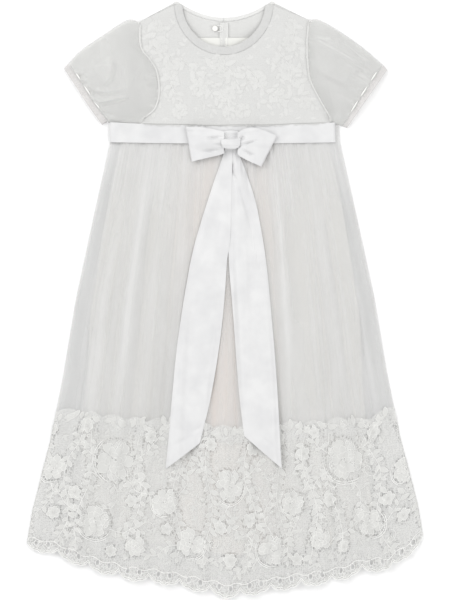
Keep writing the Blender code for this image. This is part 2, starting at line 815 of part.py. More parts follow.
def sleeve(name, curves, armhole_points, side):
    """A puff sleeve, one tube from the armhole to its cuff."""
    seam = seam_line(armhole_points, side)
    curves = {
        "shoulder": (seam[0], *curves["shoulder"][1:]),
        "underarm": (seam[-1], *curves["underarm"][1:]),
        "cuff": curves["cuff"],
    }
    outer, inner = [], []
    for share in SLEEVE_STATIONS:

        def plan(around, share=share):
            return sleeve_plan(curves, seam, share, around)

        def top(around, share=share):
            arch = math.sin(math.pi * min(max(around, 0.0), 1.0)) ** 0.6
            wave = 0.5 - 0.5 * math.cos(2 * math.pi * SLEEVE_WAVES * around)
            pull = blend(share, 0.5, 0.95) * 0.6
            swell = read(SLEEVE_PUFF, share) - SLEEVE_WAVE_HEIGHT * wave * pull
            return SLEEVE_EDGE + swell * arch

        rings = ring(plan, top, TULLE)
        outer.append(rings[0])
        inner.append(rings[1])
    return tube(name, outer, inner, "tulle")


def cuff(name, curves):
    """The narrow band that holds the gathered end of a sleeve."""
    outer, inner = [], []
    for share in (0.045, 0.5, 1.0):

        def plan(around, share=share):
            return along(curves["cuff"], around) * (1 - share) + along(curves["band"], around) * share

        def top(around):
            return SLEEVE_EDGE + CUFF_RISE * math.sin(math.pi * min(max(around, 0.0), 1.0)) ** 0.6

        rings = ring(plan, top, TULLE)
        outer.append(rings[0])
        inner.append(rings[1])
    return tube(name, outer, inner, "tulle")


def sash_front():
    """The front of the sash, which comes down to the back at both sides and covers the waist seam."""
    half = WAIST_HALF_WIDTH + 2.0
    low = SATIN + SEAM_GAP
    left = [(-half, low), (-half, low + 2.5), (-half + 1.4, SASH_Z - 1.2), (-half + 5, SASH_Z)]
    right = [(SASH_RIGHT_X, SASH_Z - 1.5)]
    middle = [(x, SASH_Z) for x in steps(-126, 122, 12)]
    rows = []
    for x, z in left + middle + right:
        across = x / WAIST_HALF_WIDTH
        rows.append([(x, y, z) for y in steps(sash_bottom(across), sash_top(across), 2)])
    return strip("sash_front", rows, SATIN, "satin")


def sash_back():
    """The back of the sash, level with the panels above and below it so that the back lies flat."""
    xs = [*steps(-WAIST_HALF_WIDTH - 2.0, SASH_RIGHT_X, 16), SASH_RIGHT_X + 0.5, WAIST_HALF_WIDTH]
    top = [(x, sash_top(x / WAIST_HALF_WIDTH) - 4.0 * (x > SASH_RIGHT_X)) for x in xs]
    bottom = [(x, sash_bottom(x / WAIST_HALF_WIDTH)) for x in reversed(xs)]
    return cloth("sash_back", top + bottom, [], lambda p: (*p, 0.0, SATIN), "satin")


def tail(name, table, side):
    """A ribbon tail that comes from under the knot, lies on the skirt and ends on a slant."""
    left_edge = [(left, y) for y, left, _ in table]
    right_edge = [(right, y) for y, _, right in table]
    rows = []
    for share in steps(0, 1, TAIL_STATIONS):
        left, right = along(left_edge, share), along(right_edge, share)
        row = []
        for place in steps(0, 1, 4):
            outward = 1 - place if side < 0 else place
            spot = left + (right - left) * place
            spot.y -= TAIL_SLANT * outward * blend(share, 0.7, 1.0)
            lift = TAIL_RIPPLE * ripple(share, place, side) * blend(share, 0.12, 0.3)
            row.append((spot.x, spot.y, tail_height(spot.x, spot.y) + lift))
        rows.append(row)
    return strip(name, rows, SATIN, "satin")


def ripple(share, place, side):
    """Slow waves along a tail, from 0 to 1."""
    return 0.5 + 0.5 * math.sin(9 * share + 2.2 * place + side)


def down_at(y, across):
    """How far down the skirt a height on the floor plan is."""
    top = sash_top(across) - TUCK
    return (y - top) / (read(HEM, across) - top)


def tail_height(x, y):
    """The height at which a ribbon rests on the skirt's crests."""
    down = down_at(y, 0.0)
    half, _ = skirt_plan(1.0, down)
    lace = (LACE + 2 * SEAM_GAP) * blend(down, 0.58, 0.63)
    return skirt_crest(x / half, down) + lace + 2 * SEAM_GAP


def bow_loop(name, edges, side):
    """A loop of the bow: the ribbon runs out along the back, turns, and comes back along the front."""
    low = SASH_Z + SATIN + BOW_LIFT
    out = [(share, 0.0) for share in (0.0, 0.25, 0.5, 0.75, 0.93)]
    back = [(share, 1.0) for share, _ in reversed(out)]
    rows = []
    for share, layer in [*out, (0.985, 0.15), (1.0, 0.5), (0.985, 0.85), *back]:
        bottom, top = along(edges["low"], share), along(edges["high"], share)
        row = []
        for place in steps(0, 1, 6):
            spot = bottom + (top - bottom) * place
            puff = LOOP_PUFF * math.sin(math.pi * share) ** 2 * math.sin(math.pi * place)
            crease = LOOP_CREASE * math.sin(3 * math.pi * place) * math.sin(math.pi * share) * (1 - share)
            row.append((spot.x, spot.y, low + layer * (2 * SATIN + BOW_GAP + puff - crease)))
        rows.append(row if side < 0 else row[::-1])
    return strip(name, rows[::-1], SATIN, "satin")


def bow_knot():
    """The band round the middle of the bow, which bulges over the roots of the loops."""
    half_x, half_y = KNOT_SIZE[0] / 2, KNOT_SIZE[1] / 2
    low = SASH_Z + 3 * SATIN + BOW_LIFT + BOW_GAP + KNOT_LIFT
    outline = []
    for turn in steps(0, 2 * math.pi, 20)[:-1]:
        cos, sin = math.cos(turn), math.sin(turn)
        x = half_x * math.copysign(abs(cos) ** 0.7, cos)
        outline.append((KNOT[0] + x, KNOT[1] + half_y * math.copysign(abs(sin) ** 0.5, sin)))
    grid = [(a, b) for a in (-0.55, 0.0, 0.55) for b in (-0.6, -0.2, 0.2, 0.6)]
    inside = [(KNOT[0] + a * half_x, KNOT[1] + b * half_y) for a, b in grid]

    def place(p):
        a, b = (p[0] - KNOT[0]) / half_x, (p[1] - KNOT[1]) / half_y
        return *p, low, low + SATIN + 2.6 * max(0.0, 1 - 0.8 * a * a - 0.7 * b * b)

    return cloth("bow_knot", outline, inside, place, "satin")


def back_button():
    """The small button of the back opening, inside the neck on the left half."""
    circle = [
        (BUTTON_AT[0] + BUTTON_RADIUS * math.cos(t), BUTTON_AT[1] + BUTTON_RADIUS * math.sin(t))
        for t in steps(0, 2 * math.pi, 16)[:-1]
    ]
    low = BODICE + SEAM_GAP

    def place(p):
        out = math.hypot(p[0] - BUTTON_AT[0], p[1] - BUTTON_AT[1]) / BUTTON_RADIUS
        return *p, low, low + BUTTON_THICK * (1 - 0.4 * out * out)

    return cloth("back_button", circle, [BUTTON_AT], place, "pearl")


def centre():
    """Moves every piece so that the middle of the bounding box stands over the origin."""
    meshes = [piece.data for piece in bpy.data.objects]
    corners = [v.co for mesh in meshes for v in mesh.vertices]
    middle = [(min(c[i] for c in corners) + max(c[i] for c in corners)) / 2 for i in (0, 1)]
    lowest = min(c.z for c in corners)
    for mesh in meshes:
        for v in mesh.vertices:
            v.co -= Vector((*middle, lowest))


def main():
    for old in list(bpy.data.objects):
        bpy.data.objects.remove(old)
    skirt_front()
    skirt_back()
    skirt_linings()
    lace_front()
    lace_back()
    bodice_front()
    neck_band_front()
    back_half("bodice_back_left", -1)
    back_half("bodice_back_right", 1)
    bodice_lining()
    sleeve("sleeve_left", LEFT_SLEEVE, LEFT_ARMHOLE, -1)
    sleeve("sleeve_right", RIGHT_SLEEVE, RIGHT_ARMHOLE, 1)
    cuff("cuff_left", LEFT_SLEEVE)
    cuff("cuff_right", RIGHT_SLEEVE)
    sash_front()
    sash_back()
    tail("tail_left", LEFT_TAIL, -1)
    tail("tail_right", RIGHT_TAIL, 1)
    bow_loop("bow_loop_left", LEFT_LOOP, -1)
    bow_loop("bow_loop_right", RIGHT_LOOP, 1)
    bow_knot()
    back_button()
    centre()


main()
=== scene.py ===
"""The looks of the baby's ceremony dress, laid flat with its front upwards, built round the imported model.

Lengths are in millimetres until a mesh is made. across runs from -1 at the skirt's left side to 1 at its right,
and down from 0 at the waist to 1 at the hem, as in the part's source.
"""

import math

import bpy
import numpy as np
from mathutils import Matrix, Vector
from mathutils.geometry import delaunay_2d_cdt


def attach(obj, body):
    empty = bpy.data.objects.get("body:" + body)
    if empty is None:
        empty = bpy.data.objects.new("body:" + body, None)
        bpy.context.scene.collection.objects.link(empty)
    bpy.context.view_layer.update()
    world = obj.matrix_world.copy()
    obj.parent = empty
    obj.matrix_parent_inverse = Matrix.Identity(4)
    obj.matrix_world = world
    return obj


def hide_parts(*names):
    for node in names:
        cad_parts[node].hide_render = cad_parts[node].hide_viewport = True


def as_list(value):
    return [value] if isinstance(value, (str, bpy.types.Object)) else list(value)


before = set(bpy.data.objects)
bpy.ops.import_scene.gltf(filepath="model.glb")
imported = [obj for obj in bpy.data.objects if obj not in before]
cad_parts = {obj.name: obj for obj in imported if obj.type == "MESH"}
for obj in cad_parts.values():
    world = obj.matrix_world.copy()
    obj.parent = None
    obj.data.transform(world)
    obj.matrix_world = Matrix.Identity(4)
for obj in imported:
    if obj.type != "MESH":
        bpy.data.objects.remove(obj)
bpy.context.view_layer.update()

MM = 0.001
PI = math.pi
GAP = 0.3  # room between cloths that lie on each other

# The waist and the sash: the edges at the sides and how much lower they lie in the middle
SASH_TOP_Y, SASH_TOP_SAG = 212.5, 4.0
SASH_BOTTOM_Y, SASH_BOTTOM_SAG = 188.5, 1.5
SASH_LEFT_X, SASH_RIGHT_X = -138.2, 131.0  # its ends, which hide the sleeves' corners
# Where the dark grey cord above the sash runs, which is painted shadow under the bodice's edge
WAIST_SHADOW_ENDS = (-99.0, 122.0)  # from x to x
SASH_Z = 7.3
TUCK = 3.0  # how far the skirt goes up under the sash
WAIST_HALF = 136.4

# The skirt
HEM_SIDE_Y = -290.0
HEM = (  # across, y
    (-1, -292), (-0.87, -298), (-0.72, -313), (-0.5, -328), (-0.3, -333), (-0.13, -342),
    (0.03, -350), (0.15, -345), (0.34, -338), (0.55, -331), (0.7, -319), (0.83, -317),
    (0.93, -299), (1, -283),
)
SKIRT_HALVES = (  # y, half width
    (-290, 237.5), (-250, 230.5), (-170, 210), (-90, 194), (0, 179), (100, 157.5),
    (189.0, 137.4), (209.5, WAIST_HALF),
)
LENGTH = 540.0
FOLDS = (  # across at each trough, height of the fold on its right
    (-1, 2.5), (-0.915, 3.5), (-0.83, 6), (-0.70, 8), (-0.548, 7.5), (-0.377, 8.5), (-0.206, 6),
    (-0.065, 5), (0.065, 6), (0.196, 7), (0.332, 9), (0.538, 6.5), (0.659, 7), (0.785, 5.5),
    (0.89, 3.5), (1, 0),
)
GROWTH = (  # down, share of a fold's height
    (0, 0), (0.05, 0.05), (0.1, 0.12), (0.17, 0.26), (0.29, 0.45), (0.44, 0.62), (0.59, 0.78), (0.85, 0.95),
    (1, 1),
)
# How the tulle rises and folds with the distance from the skirt's side, and how far in the lining is on the way down
SIDE_RISE = ((0.0, 0.0), (3.0, 0.6), (8.0, 1.0), (18.0, 1.0))
SIDE_FOLD = ((0.0, 0.0), (3.0, 0.1), (8.0, 0.35), (18.0, 1.0))
LINING_INSET = ((0.0, 12.0), (0.2, 14.0), (0.45, 20.0), (0.7, 34.0), (1.0, 58.0))
LINING_HEM, LINING_HEM_SAG = 0.953, 0.029
LACE_TOP, LACE_TOP_SAG, LACE_LAP = 0.687, 0.035, 0.03
TOP_SCALLOPS, TOP_DEPTH = 15, 5.0
SCALLOPS, SCALLOP_DEPTH, PETALS, PETAL_DEPTH = 13, 8.0, 3, 1.6
EYELET = (4.6, 6.6)

# The bodice
# The neck is part of an ellipse. The armholes run from the shoulder down to the sash.
NECK_CENTRE, NECK_RADII, NECK_BAND = (-1.5, 357.0), (59.5, 63.5), 9.5
BACK_NECK_DEPTH, BACK_BAND = 20.0, 4.0
SHOULDER_TIPS = ((-58.0, 358.0), (56.4, 358.0))
LEFT_ARMHOLE = (
    (-102.9, 333), (-101.7, 303), (-91, 288), (-82.5, 273), (-80, 249), (-86, 228),
    (-105.3, 213.8),
)
RIGHT_ARMHOLE = ((101.1, 335), (99.3, 303), (101.7, 269), (108.7, 251), (119.7, 231), (129.3, 215.2))
PLACKET = (-6.4, 3.8, 299.0, 332.0)  # left, right, bottom, top
SLIT_X, KEYHOLE = -1.8, (326.0, 334.0, 1.1)
LINING_TOP_Y = 314.0
LINING_LEFT = ((-60.0, LINING_TOP_Y), (-68.0, 290.0), (-66.0, 262.0), (-66.0, 240.0), (-78.0, 217.0))
LINING_RIGHT = ((110.0, 217.0), (96.0, 240.0), (86.0, 275.0), (70.0, 300.0), (58.0, LINING_TOP_Y))

# The sleeves
LEFT_SLEEVE = {
    "shoulder": ((-103.2, 333.3), (-117.6, 335), (-147.6, 316), (-172.8, 298.6), (-188, 283)),
    "underarm": ((-105.6, 210), (-122, 207.6), (-134, 208.4), (-141, 213.6)),
    "cuff": ((-188, 283), (-172, 258.5), (-157, 235.5), (-141, 213.6)),
    "band": ((-193.2, 276.8), (-178.5, 254.5), (-163.5, 231.5), (-147.5, 209.5)),
}
RIGHT_SLEEVE = {
    "shoulder": ((101.4, 335.3), (112, 335.8), (135, 323.4), (165, 302.4), (189.5, 281.5)),
    "underarm": ((127.6, 211), (134.8, 209), (141.5, 207.6)),
    "cuff": ((189.5, 281.5), (173.5, 257.5), (157.5, 233), (141.5, 207.6)),
    "band": ((194.7, 275.5), (179, 252.5), (162.5, 229), (146.5, 205.8)),
}
# Heights of the sleeves: their edges, the puff along the sleeve, and the cuff's arch
SLEEVE_EDGE = 3.3
SLEEVE_PUFF = ((0.0, 0.2), (0.12, 4.0), (0.38, 11.5), (0.65, 14.6), (0.9, 11.0), (1.0, 7.0))
CUFF_RISE = 6.0
CUFF_PLEATS, INNER_PLEATS = 12, 18  # fine creases of each sleeve, drawn by a seeded draw

# The bow
KNOT, KNOT_SIZE = (7.0, 191.5), (23.0, 23.0)
LEFT_LOOP = {
    "low": ((-1, 175), (-8.4, 172.6), (-21, 169.8), (-39.6, 165.3)),
    "high": ((-1, 201), (-14, 203.8), (-31, 206.6), (-46.8, 206.9)),
}
RIGHT_LOOP = {
    "low": ((15, 174), (19, 170.8), (29, 165.6), (43.2, 159.2)),
    "high": ((15, 200), (25, 204.6), (41, 204.4), (61.9, 196.2)),
}
LEFT_TAIL = (  # y, left edge, right edge
    (184, 1, 6), (166, -4.6, 6.2), (119.4, -20.4, 4.9), (53.4, -39.6, 2.8), (-30.6, -54, -3.6),
    (-108.6, -63.6, -15.6), (-172, -71, -30),
)
RIGHT_TAIL = (
    (184, 7, 12.6), (166, 7.6, 20), (119.4, 6.1, 36), (53.4, 4.2, 48), (-30.6, 10.8, 56.4),
    (-108.6, 16.8, 63.6), (-163.6, 23, 68),
)
TAIL_SLANT = {-1: 31.0, 1: 39.0}  # how much lower each tail's outer corner is
BUTTON_AT = (-12.0, 325.0)

# Thickness of the cloths as they look
SHEER, LACE, SATIN = 0.35, 0.5, 0.5


def interp(rows, at, column=1):
    """A column of a table at values of its first column."""
    rows = np.array(sorted(rows), float)
    return np.interp(at, rows[:, 0], rows[:, column])


def smooth(value, low, high):
    """0 below low, 1 above high, and a soft step between them."""
    share = np.clip((np.asarray(value, float) - low) / (high - low), 0, 1)
    return share * share * (3 - 2 * share)


def between(value, rise, fall):
    """1 between two places with soft ends. rise and fall each give where a change starts and ends."""
    return smooth(value, *rise) * (1 - smooth(value, *fall))


def bell(value, width):
    """1 at zero, falling off smoothly on both sides."""
    return np.exp(-((value / width) ** 2))


def curve(points, share):
    """Points at shares along a smooth curve through the points."""
    p = np.array(points, float)
    p = np.vstack([2 * p[0] - p[1], p, 2 * p[-1] - p[-2]])
    place = np.clip(np.asarray(share, float), 0, 1) * (len(points) - 1)
    i = np.minimum(place.astype(int), len(points) - 2)
    t = (place - i)[..., None]
    before, start, end, after = p[i], p[i + 1], p[i + 2], p[i + 3]
    into, out = (end - before) / 2, (after - start) / 2
    return (
        start * (2 * t**3 - 3 * t**2 + 1)
        + into * (t**3 - 2 * t**2 + t)
        + end * (3 * t**2 - 2 * t**3)
        + out * (t**3 - t**2)
    )


def sash_top(a):
    """y of the sash's top edge across the waist."""
    return SASH_TOP_Y - SASH_TOP_SAG * (1 - a**2)


def sash_bottom(a):
    """y of the sash's bottom edge across the waist."""
    return SASH_BOTTOM_Y - SASH_BOTTOM_SAG * (1 - a**2)


def sash_top_at(x):
    """The sash's top edge at x in millimetres."""
    return sash_top(x / WAIST_HALF)


def half_width(d):
    """Half the skirt's width at places down it."""
    return interp(SKIRT_HALVES, SASH_TOP_Y - TUCK + (HEM_SIDE_Y - SASH_TOP_Y + TUCK) * np.asarray(d, float))


def skirt_plan(a, d):
    """x and y of places across and down the skirt."""
    waist = sash_top(a) - TUCK
    return a * half_width(d), waist + (interp(HEM, a) - waist) * d


def down_at(y, a):
    """How far down the skirt y is."""
    top = sash_top(a) - TUCK
    return (y - top) / (interp(HEM, a) - top)


def lace_edge(a):
    """Down at the lobed top edge of the lace."""
    wave = np.abs(np.sin(PI * TOP_SCALLOPS * (a + 1) / 2))
    return LACE_TOP - LACE_TOP_SAG * (1 - a**2) - TOP_DEPTH * wave / LENGTH


def hem_edge(a):
    """Down at the lace's hem, which is scalloped and has petals on the scallops."""
    place = SCALLOPS * (a + 1) / 2
    scallop = SCALLOP_DEPTH * np.abs(np.sin(PI * place)) ** 0.7
    petal = PETAL_DEPTH * np.abs(np.sin(PI * place * PETALS))
    return 1 + (scallop + petal * smooth(scallop, 0, 3)) / LENGTH


def lace_line(a):
    """Down at the line that the lobes of the lace hang from."""
    return LACE_TOP - LACE_TOP_SAG * (1 - a**2)


# Folds of the skirt: the main ones of the part, and finer ones listed one by one and drawn by a seeded draw

draw = np.random.default_rng(41)
FOLD_LEANS, FOLD_POWERS = (0.82, 1.2, 1.0, 0.9, 1.15), (1.1, 0.9, 1.25)  # taken in turn, so that no fold repeats


def main_folds(a):
    """The main folds across the skirt at full height, each crest a little off the middle."""
    a = np.asarray(a, float)
    found = np.zeros_like(a)
    for i, ((trough, height), (end, _)) in enumerate(zip(FOLDS, FOLDS[1:])):
        share = np.clip((a - trough) / (end - trough), 0, 1)
        lean, power = FOLD_LEANS[i % len(FOLD_LEANS)], FOLD_POWERS[i % len(FOLD_POWERS)]
        found += height * (0.5 - 0.5 * np.cos(2 * PI * share**lean)) ** power
    return found


FOLD_TABLE_A = np.linspace(-1, 1, 2401)
FOLD_TABLE = main_folds(FOLD_TABLE_A)
GROWTH_D = np.linspace(-0.02, 1.06, 540)
GROWTH_Z = np.convolve(np.pad(interp(GROWTH, GROWTH_D), 30, mode="edge"), np.hanning(61) / 30, mode="valid")

# Each fine ridge: across at the waist, across at its end, half width, height, start and end down the skirt
GATHERS = []
SHORT_GATHERS, LONG_GATHERS = 84, 34
for _ in range(SHORT_GATHERS):
    at = draw.uniform(-0.97, 0.97)
    GATHERS.append((at, at + draw.normal(0, 0.012), draw.uniform(1.5, 3.0), draw.uniform(0.4, 1.2), -0.1,
                    draw.uniform(0.1, 0.42)))
for _ in range(LONG_GATHERS):
    at = draw.uniform(-0.94, 0.94)
    GATHERS.append((at, at + draw.normal(0, 0.02), draw.uniform(3.5, 7.5), draw.uniform(0.6, 1.5),
                    draw.uniform(0.0, 0.3), draw.uniform(0.55, 1.25)))

# Creases and folds of the border, listed one by one
GATHERS += [
    (-0.215, -0.215, 1.2, -1.4, 0.64, 0.93), (0.032, 0.032, 1, -1.2, 0.66, 0.86),
    (-0.38, -0.385, 3.2, 2.6, 0.66, 0.98), (-1.092, -0.687, 1.5, -1.5, 0.6, 1.2),
    (0.798, 0.528, 1.5, -1.5, 0.62, 1.25), (0.985, 0.815, 1.5, -1.4, 0.6, 1.2),
    (-0.334, -0.334, 1.5, -1.3, 0.8, 1.25), (0.27, 0.24, 3.4, 2.2, 0.64, 1.2),
    (0.7, 0.5, 3, 2, 0.62, 1.2),
]


def ridges(a, d, found):
    """The fine ridges at places of the skirt."""
    half = half_width(d)
    total = np.zeros(np.broadcast(a, d).shape)
    for first, last, width, height, start, end in found:
        share = np.clip(d, 0, 1)
        centre = first + (last - first) * share
        fade = between(d, (start, start + 0.1), (end - 0.45 * (end - start), end))
        total = total + height * fade * bell((a - centre) * half, width * (1 + 1.2 * share))
    return total


def tulle_low(a, d):
    """The underside of the front tulle."""
    inset = half_width(d) * (1 - np.abs(a))
    folds = np.interp(a + 0.006 * np.sin(5 * d + 7 * a), FOLD_TABLE_A, FOLD_TABLE) * np.interp(d, GROWTH_D, GROWTH_Z)
    fine = ridges(a, d, GATHERS)
    top = 1.9 + 4.0 * smooth(d, 0.04, 0.12)
    fine = np.where(d < 0.12, np.minimum(fine, top), fine)
    return 1.5 + 2.6 * interp(SIDE_RISE, inset) + (folds + fine) * interp(SIDE_FOLD, inset)


def lace_low(a, d):
    """The underside of the front lace, which lies over the end of the tulle."""
    lap = 1 - smooth(d - lace_line(a) - LACE_LAP, 0.0, 0.03)
    return tulle_low(a, d) + (SHEER + GAP) * lap


# A lattice of the skirt's top surface, and the level that a ribbon laid over it takes

REST_A = np.linspace(-0.6, 0.6, 481)
REST_D = np.linspace(0.0, 0.85, 171)
rest_a, rest_d = np.meshgrid(REST_A, REST_D)
REST = np.where(rest_d > lace_edge(rest_a), lace_low(rest_a, rest_d) + LACE, tulle_low(rest_a, rest_d) + SHEER)


def spread(values, reach, pick, axis=1):
    """The largest or smallest value within a reach along an axis."""
    pad = [(0, 0), (0, 0)]
    pad[axis] = (reach, reach)
    padded = np.pad(values, pad, mode="edge")
    size = values.shape[axis]
    parts = [np.take(padded, range(i, i + size), axis=axis) for i in range(2 * reach + 1)]
    return pick(parts, axis=0)


# The valleys between the folds are filled, as a ribbon bridges them, and the result is softened
closed = spread(spread(REST, 34, np.max), 26, np.min)
closed = spread(spread(closed, 8, np.max, 0), 4, np.min, 0)
for _ in range(3):
    closed = (np.roll(closed, 4, 1) + closed * 2 + np.roll(closed, -4, 1)) / 4
    closed = (np.roll(closed, 2, 0) + closed * 2 + np.roll(closed, -2, 0)) / 4
REST_LEVEL = np.maximum(closed, spread(spread(REST, 3, np.max), 1, np.max, 0))
GROUND = spread(spread(REST, 2, np.max), 1, np.max, 0)


def rest_level(x, y, z=REST_LEVEL):
    """How high the skirt carries a ribbon at a place on the floor plan, or with GROUND how high the skirt is there."""
    d = down_at(y, x / half_width(np.clip(down_at(y, 0.0), 0, 1)))
    a = x / half_width(np.clip(d, 0, 1))
    i = np.clip((a - REST_A[0]) / (REST_A[1] - REST_A[0]), 0, len(REST_A) - 1.001)
    j = np.clip((d - REST_D[0]) / (REST_D[1] - REST_D[0]), 0, len(REST_D) - 1.001)
    i0, j0 = i.astype(int), j.astype(int)
    u, v = i - i0, j - j0
    return (
        z[j0, i0] * (1 - u) * (1 - v) + z[j0, i0 + 1] * u * (1 - v) + z[j0 + 1, i0] * (1 - u) * v
        + z[j0 + 1, i0 + 1] * u * v
    )


def dents(x, y, rows):
    """Soft hollows: each has its middle, half length, half width, turn in degrees, and depth."""
    total = np.zeros(np.broadcast(x, y).shape)
    for px, py, long, wide, turn, depth in rows:
        c, n = math.cos(math.radians(turn)), math.sin(math.radians(turn))
        u, v = (x - px) * c + (y - py) * n, (y - py) * c - (x - px) * n
        total += depth * np.exp(-((u / long) ** 2) - (v / wide) ** 2)
    return total


# Mesh makers


def make(name, points, faces, material, attributes=None, angle=70, kinds=None):
    """A mesh object from points in millimetres. kinds gives each face's place in a list of materials."""
    mesh = bpy.data.meshes.new(name)
    mesh.from_pydata(np.asarray(points, float) * MM, [], faces)
    mesh.shade_smooth()
    mesh.set_sharp_from_angle(angle=math.radians(angle))
    for paint in material if isinstance(material, tuple) else (material,):
        mesh.materials.append(paint)
    if kinds is not None:
        mesh.polygons.foreach_set("material_index", np.asarray(kinds, np.int32))
    for key, values in (attributes or {}).items():
        mesh.attributes.new(key, "FLOAT", "POINT").data.foreach_set("value", np.asarray(values, np.float32))
    made = bpy.data.objects.new(name, mesh)
    bpy.context.scene.collection.objects.link(made)
    return made


def normals(grid, ring):
    """Unit normals of a grid of points, rows by columns."""
    if ring:
        wide = np.concatenate([grid[:, -1:], grid, grid[:, :1]], axis=1)
        across = (wide[:, 2:] - wide[:, :-2]) / 2
    else:
        across = np.gradient(grid, axis=1)
    found = np.cross(np.gradient(grid, axis=0), across)
    size = np.linalg.norm(found, axis=2, keepdims=True)
    return found / np.maximum(size, 1e-9)


def grid_faces(rows, columns, ring=False, keep=None):
    """The quads of a grid of points, row by row. A ring's last column joins its first."""
    i, j = np.meshgrid(np.arange(rows - 1), np.arange(columns if ring else columns - 1), indexing="ij")
    k = (j + 1) % columns
    faces = np.stack([i * columns + j, i * columns + k, (i + 1) * columns + k, (i + 1) * columns + j], axis=-1)
    return faces[keep] if keep is not None else faces.reshape(-1, 4)


def close_rim(faces, size):
    """Walls along the edges that only one face of the first skin has."""
    edges = np.concatenate([faces[:, [i, (i + 1) % faces.shape[1]]] for i in range(faces.shape[1])])
    key = np.sort(edges, axis=1)
    _, index, count = np.unique(key, axis=0, return_index=True, return_counts=True)
    rim = edges[index[count == 1]]
    return np.stack([rim[:, 1], rim[:, 0], rim[:, 0] + size, rim[:, 1] + size], axis=1)


def shell(name, grid, thick, material, ring=False, keep=None, attributes=None, side=0.0):
    """A thin closed wall on a grid of points. side is -1, 0 or 1: the grid is its lower, middle or upper skin."""
    grid = np.asarray(grid, float)
    rows, columns = grid.shape[:2]
    facing = normals(grid, ring)
    over = grid + facing * thick * (0.5 - side / 2)
    under = grid - facing * thick * (0.5 + side / 2)
    size = rows * columns
    top = grid_faces(rows, columns, ring, keep)[:, ::-1]
    faces = np.concatenate([top, top[:, ::-1] + size, close_rim(top, size)])
    points = np.concatenate([over.reshape(-1, 3), under.reshape(-1, 3)])
    used = np.unique(faces)
    index = np.full(2 * size, -1)
    index[used] = np.arange(len(used))
    attributes = {k: np.tile(np.asarray(v).ravel(), 2)[used] for k, v in (attributes or {}).items()}
    return make(name, points[used], index[faces], material, attributes)


def inside_loop(points, loop):
    """Which points are inside a closed line."""
    x, y = points[:, 0][:, None], points[:, 1][:, None]
    ax, ay = loop[:, 0], loop[:, 1]
    bx, by = np.roll(ax, -1), np.roll(ay, -1)
    safe = np.where(by == ay, 1e-9, by - ay)
    crossed = ((ay > y) != (by > y)) & (x < ax + (y - ay) * (bx - ax) / safe)
    return crossed.sum(axis=1) % 2 == 1


def line_distance(points, line):
    """How far points are from an open line, as an array."""
    points, line = np.asarray(points, float), np.asarray(line, float)
    best = np.full(len(points), 1e9)
    for a, b in zip(line[:-1], line[1:]):
        run = b - a
        share = np.clip((points - a) @ run / max(run @ run, 1e-9), 0, 1)
        best = np.minimum(best, np.linalg.norm(points - a - share[:, None] * run, axis=1))
    return best


def resample(points, step, closed=False):
    """A line with its points spaced evenly, about a step apart."""
    points = np.asarray(points, float)
    if closed:
        points = np.vstack([points, points[:1]])
    run = np.concatenate([[0], np.cumsum(np.linalg.norm(np.diff(points, axis=0), axis=1))])
    count = max(2, int(round(run[-1] / step)))
    at = np.linspace(0, run[-1], count + 1)
    if closed:
        at = at[:-1]
    return np.stack([np.interp(at, run, points[:, k]) for k in range(points.shape[1])], axis=1)


def panel(name, outline, height, thick, material, step=3.0, edge=2.0, attributes=None):
    """A thin closed wall cut to an outline. height sets the underside at an array of x and of y."""
    outline = resample(outline, edge, closed=True)
    low, high = outline.min(0), outline.max(0)
    xs, ys = np.arange(low[0], high[0], step), np.arange(low[1], high[1], step * 0.866)
    gx, gy = np.meshgrid(xs, ys)
    gx = gx + (np.arange(len(ys)) % 2 * step / 2)[:, None]
    inner = np.stack([gx.ravel(), gy.ravel()], axis=1)
    inner = inner[inside_loop(inner, outline)]
    inner = inner[line_distance(inner, np.vstack([outline, outline[:1]])) > step * 0.5]
    count = len(outline)
    edges = [(i, (i + 1) % count) for i in range(count)]
    flat, _, faces, *_ = delaunay_2d_cdt([Vector(p) for p in (*outline, *inner)], edges, [], 1, 1e-5)
    flat, faces = np.array([tuple(p) for p in flat]), np.array([tuple(f) for f in faces])
    faces = faces[inside_loop(flat[faces].mean(axis=1), outline)]
    z = height(flat[:, 0], flat[:, 1])
    size = len(flat)
    body = np.concatenate([np.column_stack([flat, z + thick]), np.column_stack([flat, z])])
    rim = close_rim(faces, size)
    kept = np.unique(np.concatenate([faces.ravel(), faces.ravel() + size]))
    index = np.full(2 * size, -1)
    index[kept] = np.arange(len(kept))
    every = [tuple(f) for f in index[faces]] + [tuple(f[::-1]) for f in index[faces + size]]
    every += [tuple(f) for f in index[rim]]
    extra = {k: np.tile(f(flat[:, 0], flat[:, 1]), 2)[kept] for k, f in (attributes or {}).items()}
    return make(name, body[kept], every, material, extra)


# Raised stitching: flowers, leaves and cords, gathered in a flat pattern and then laid on a cloth


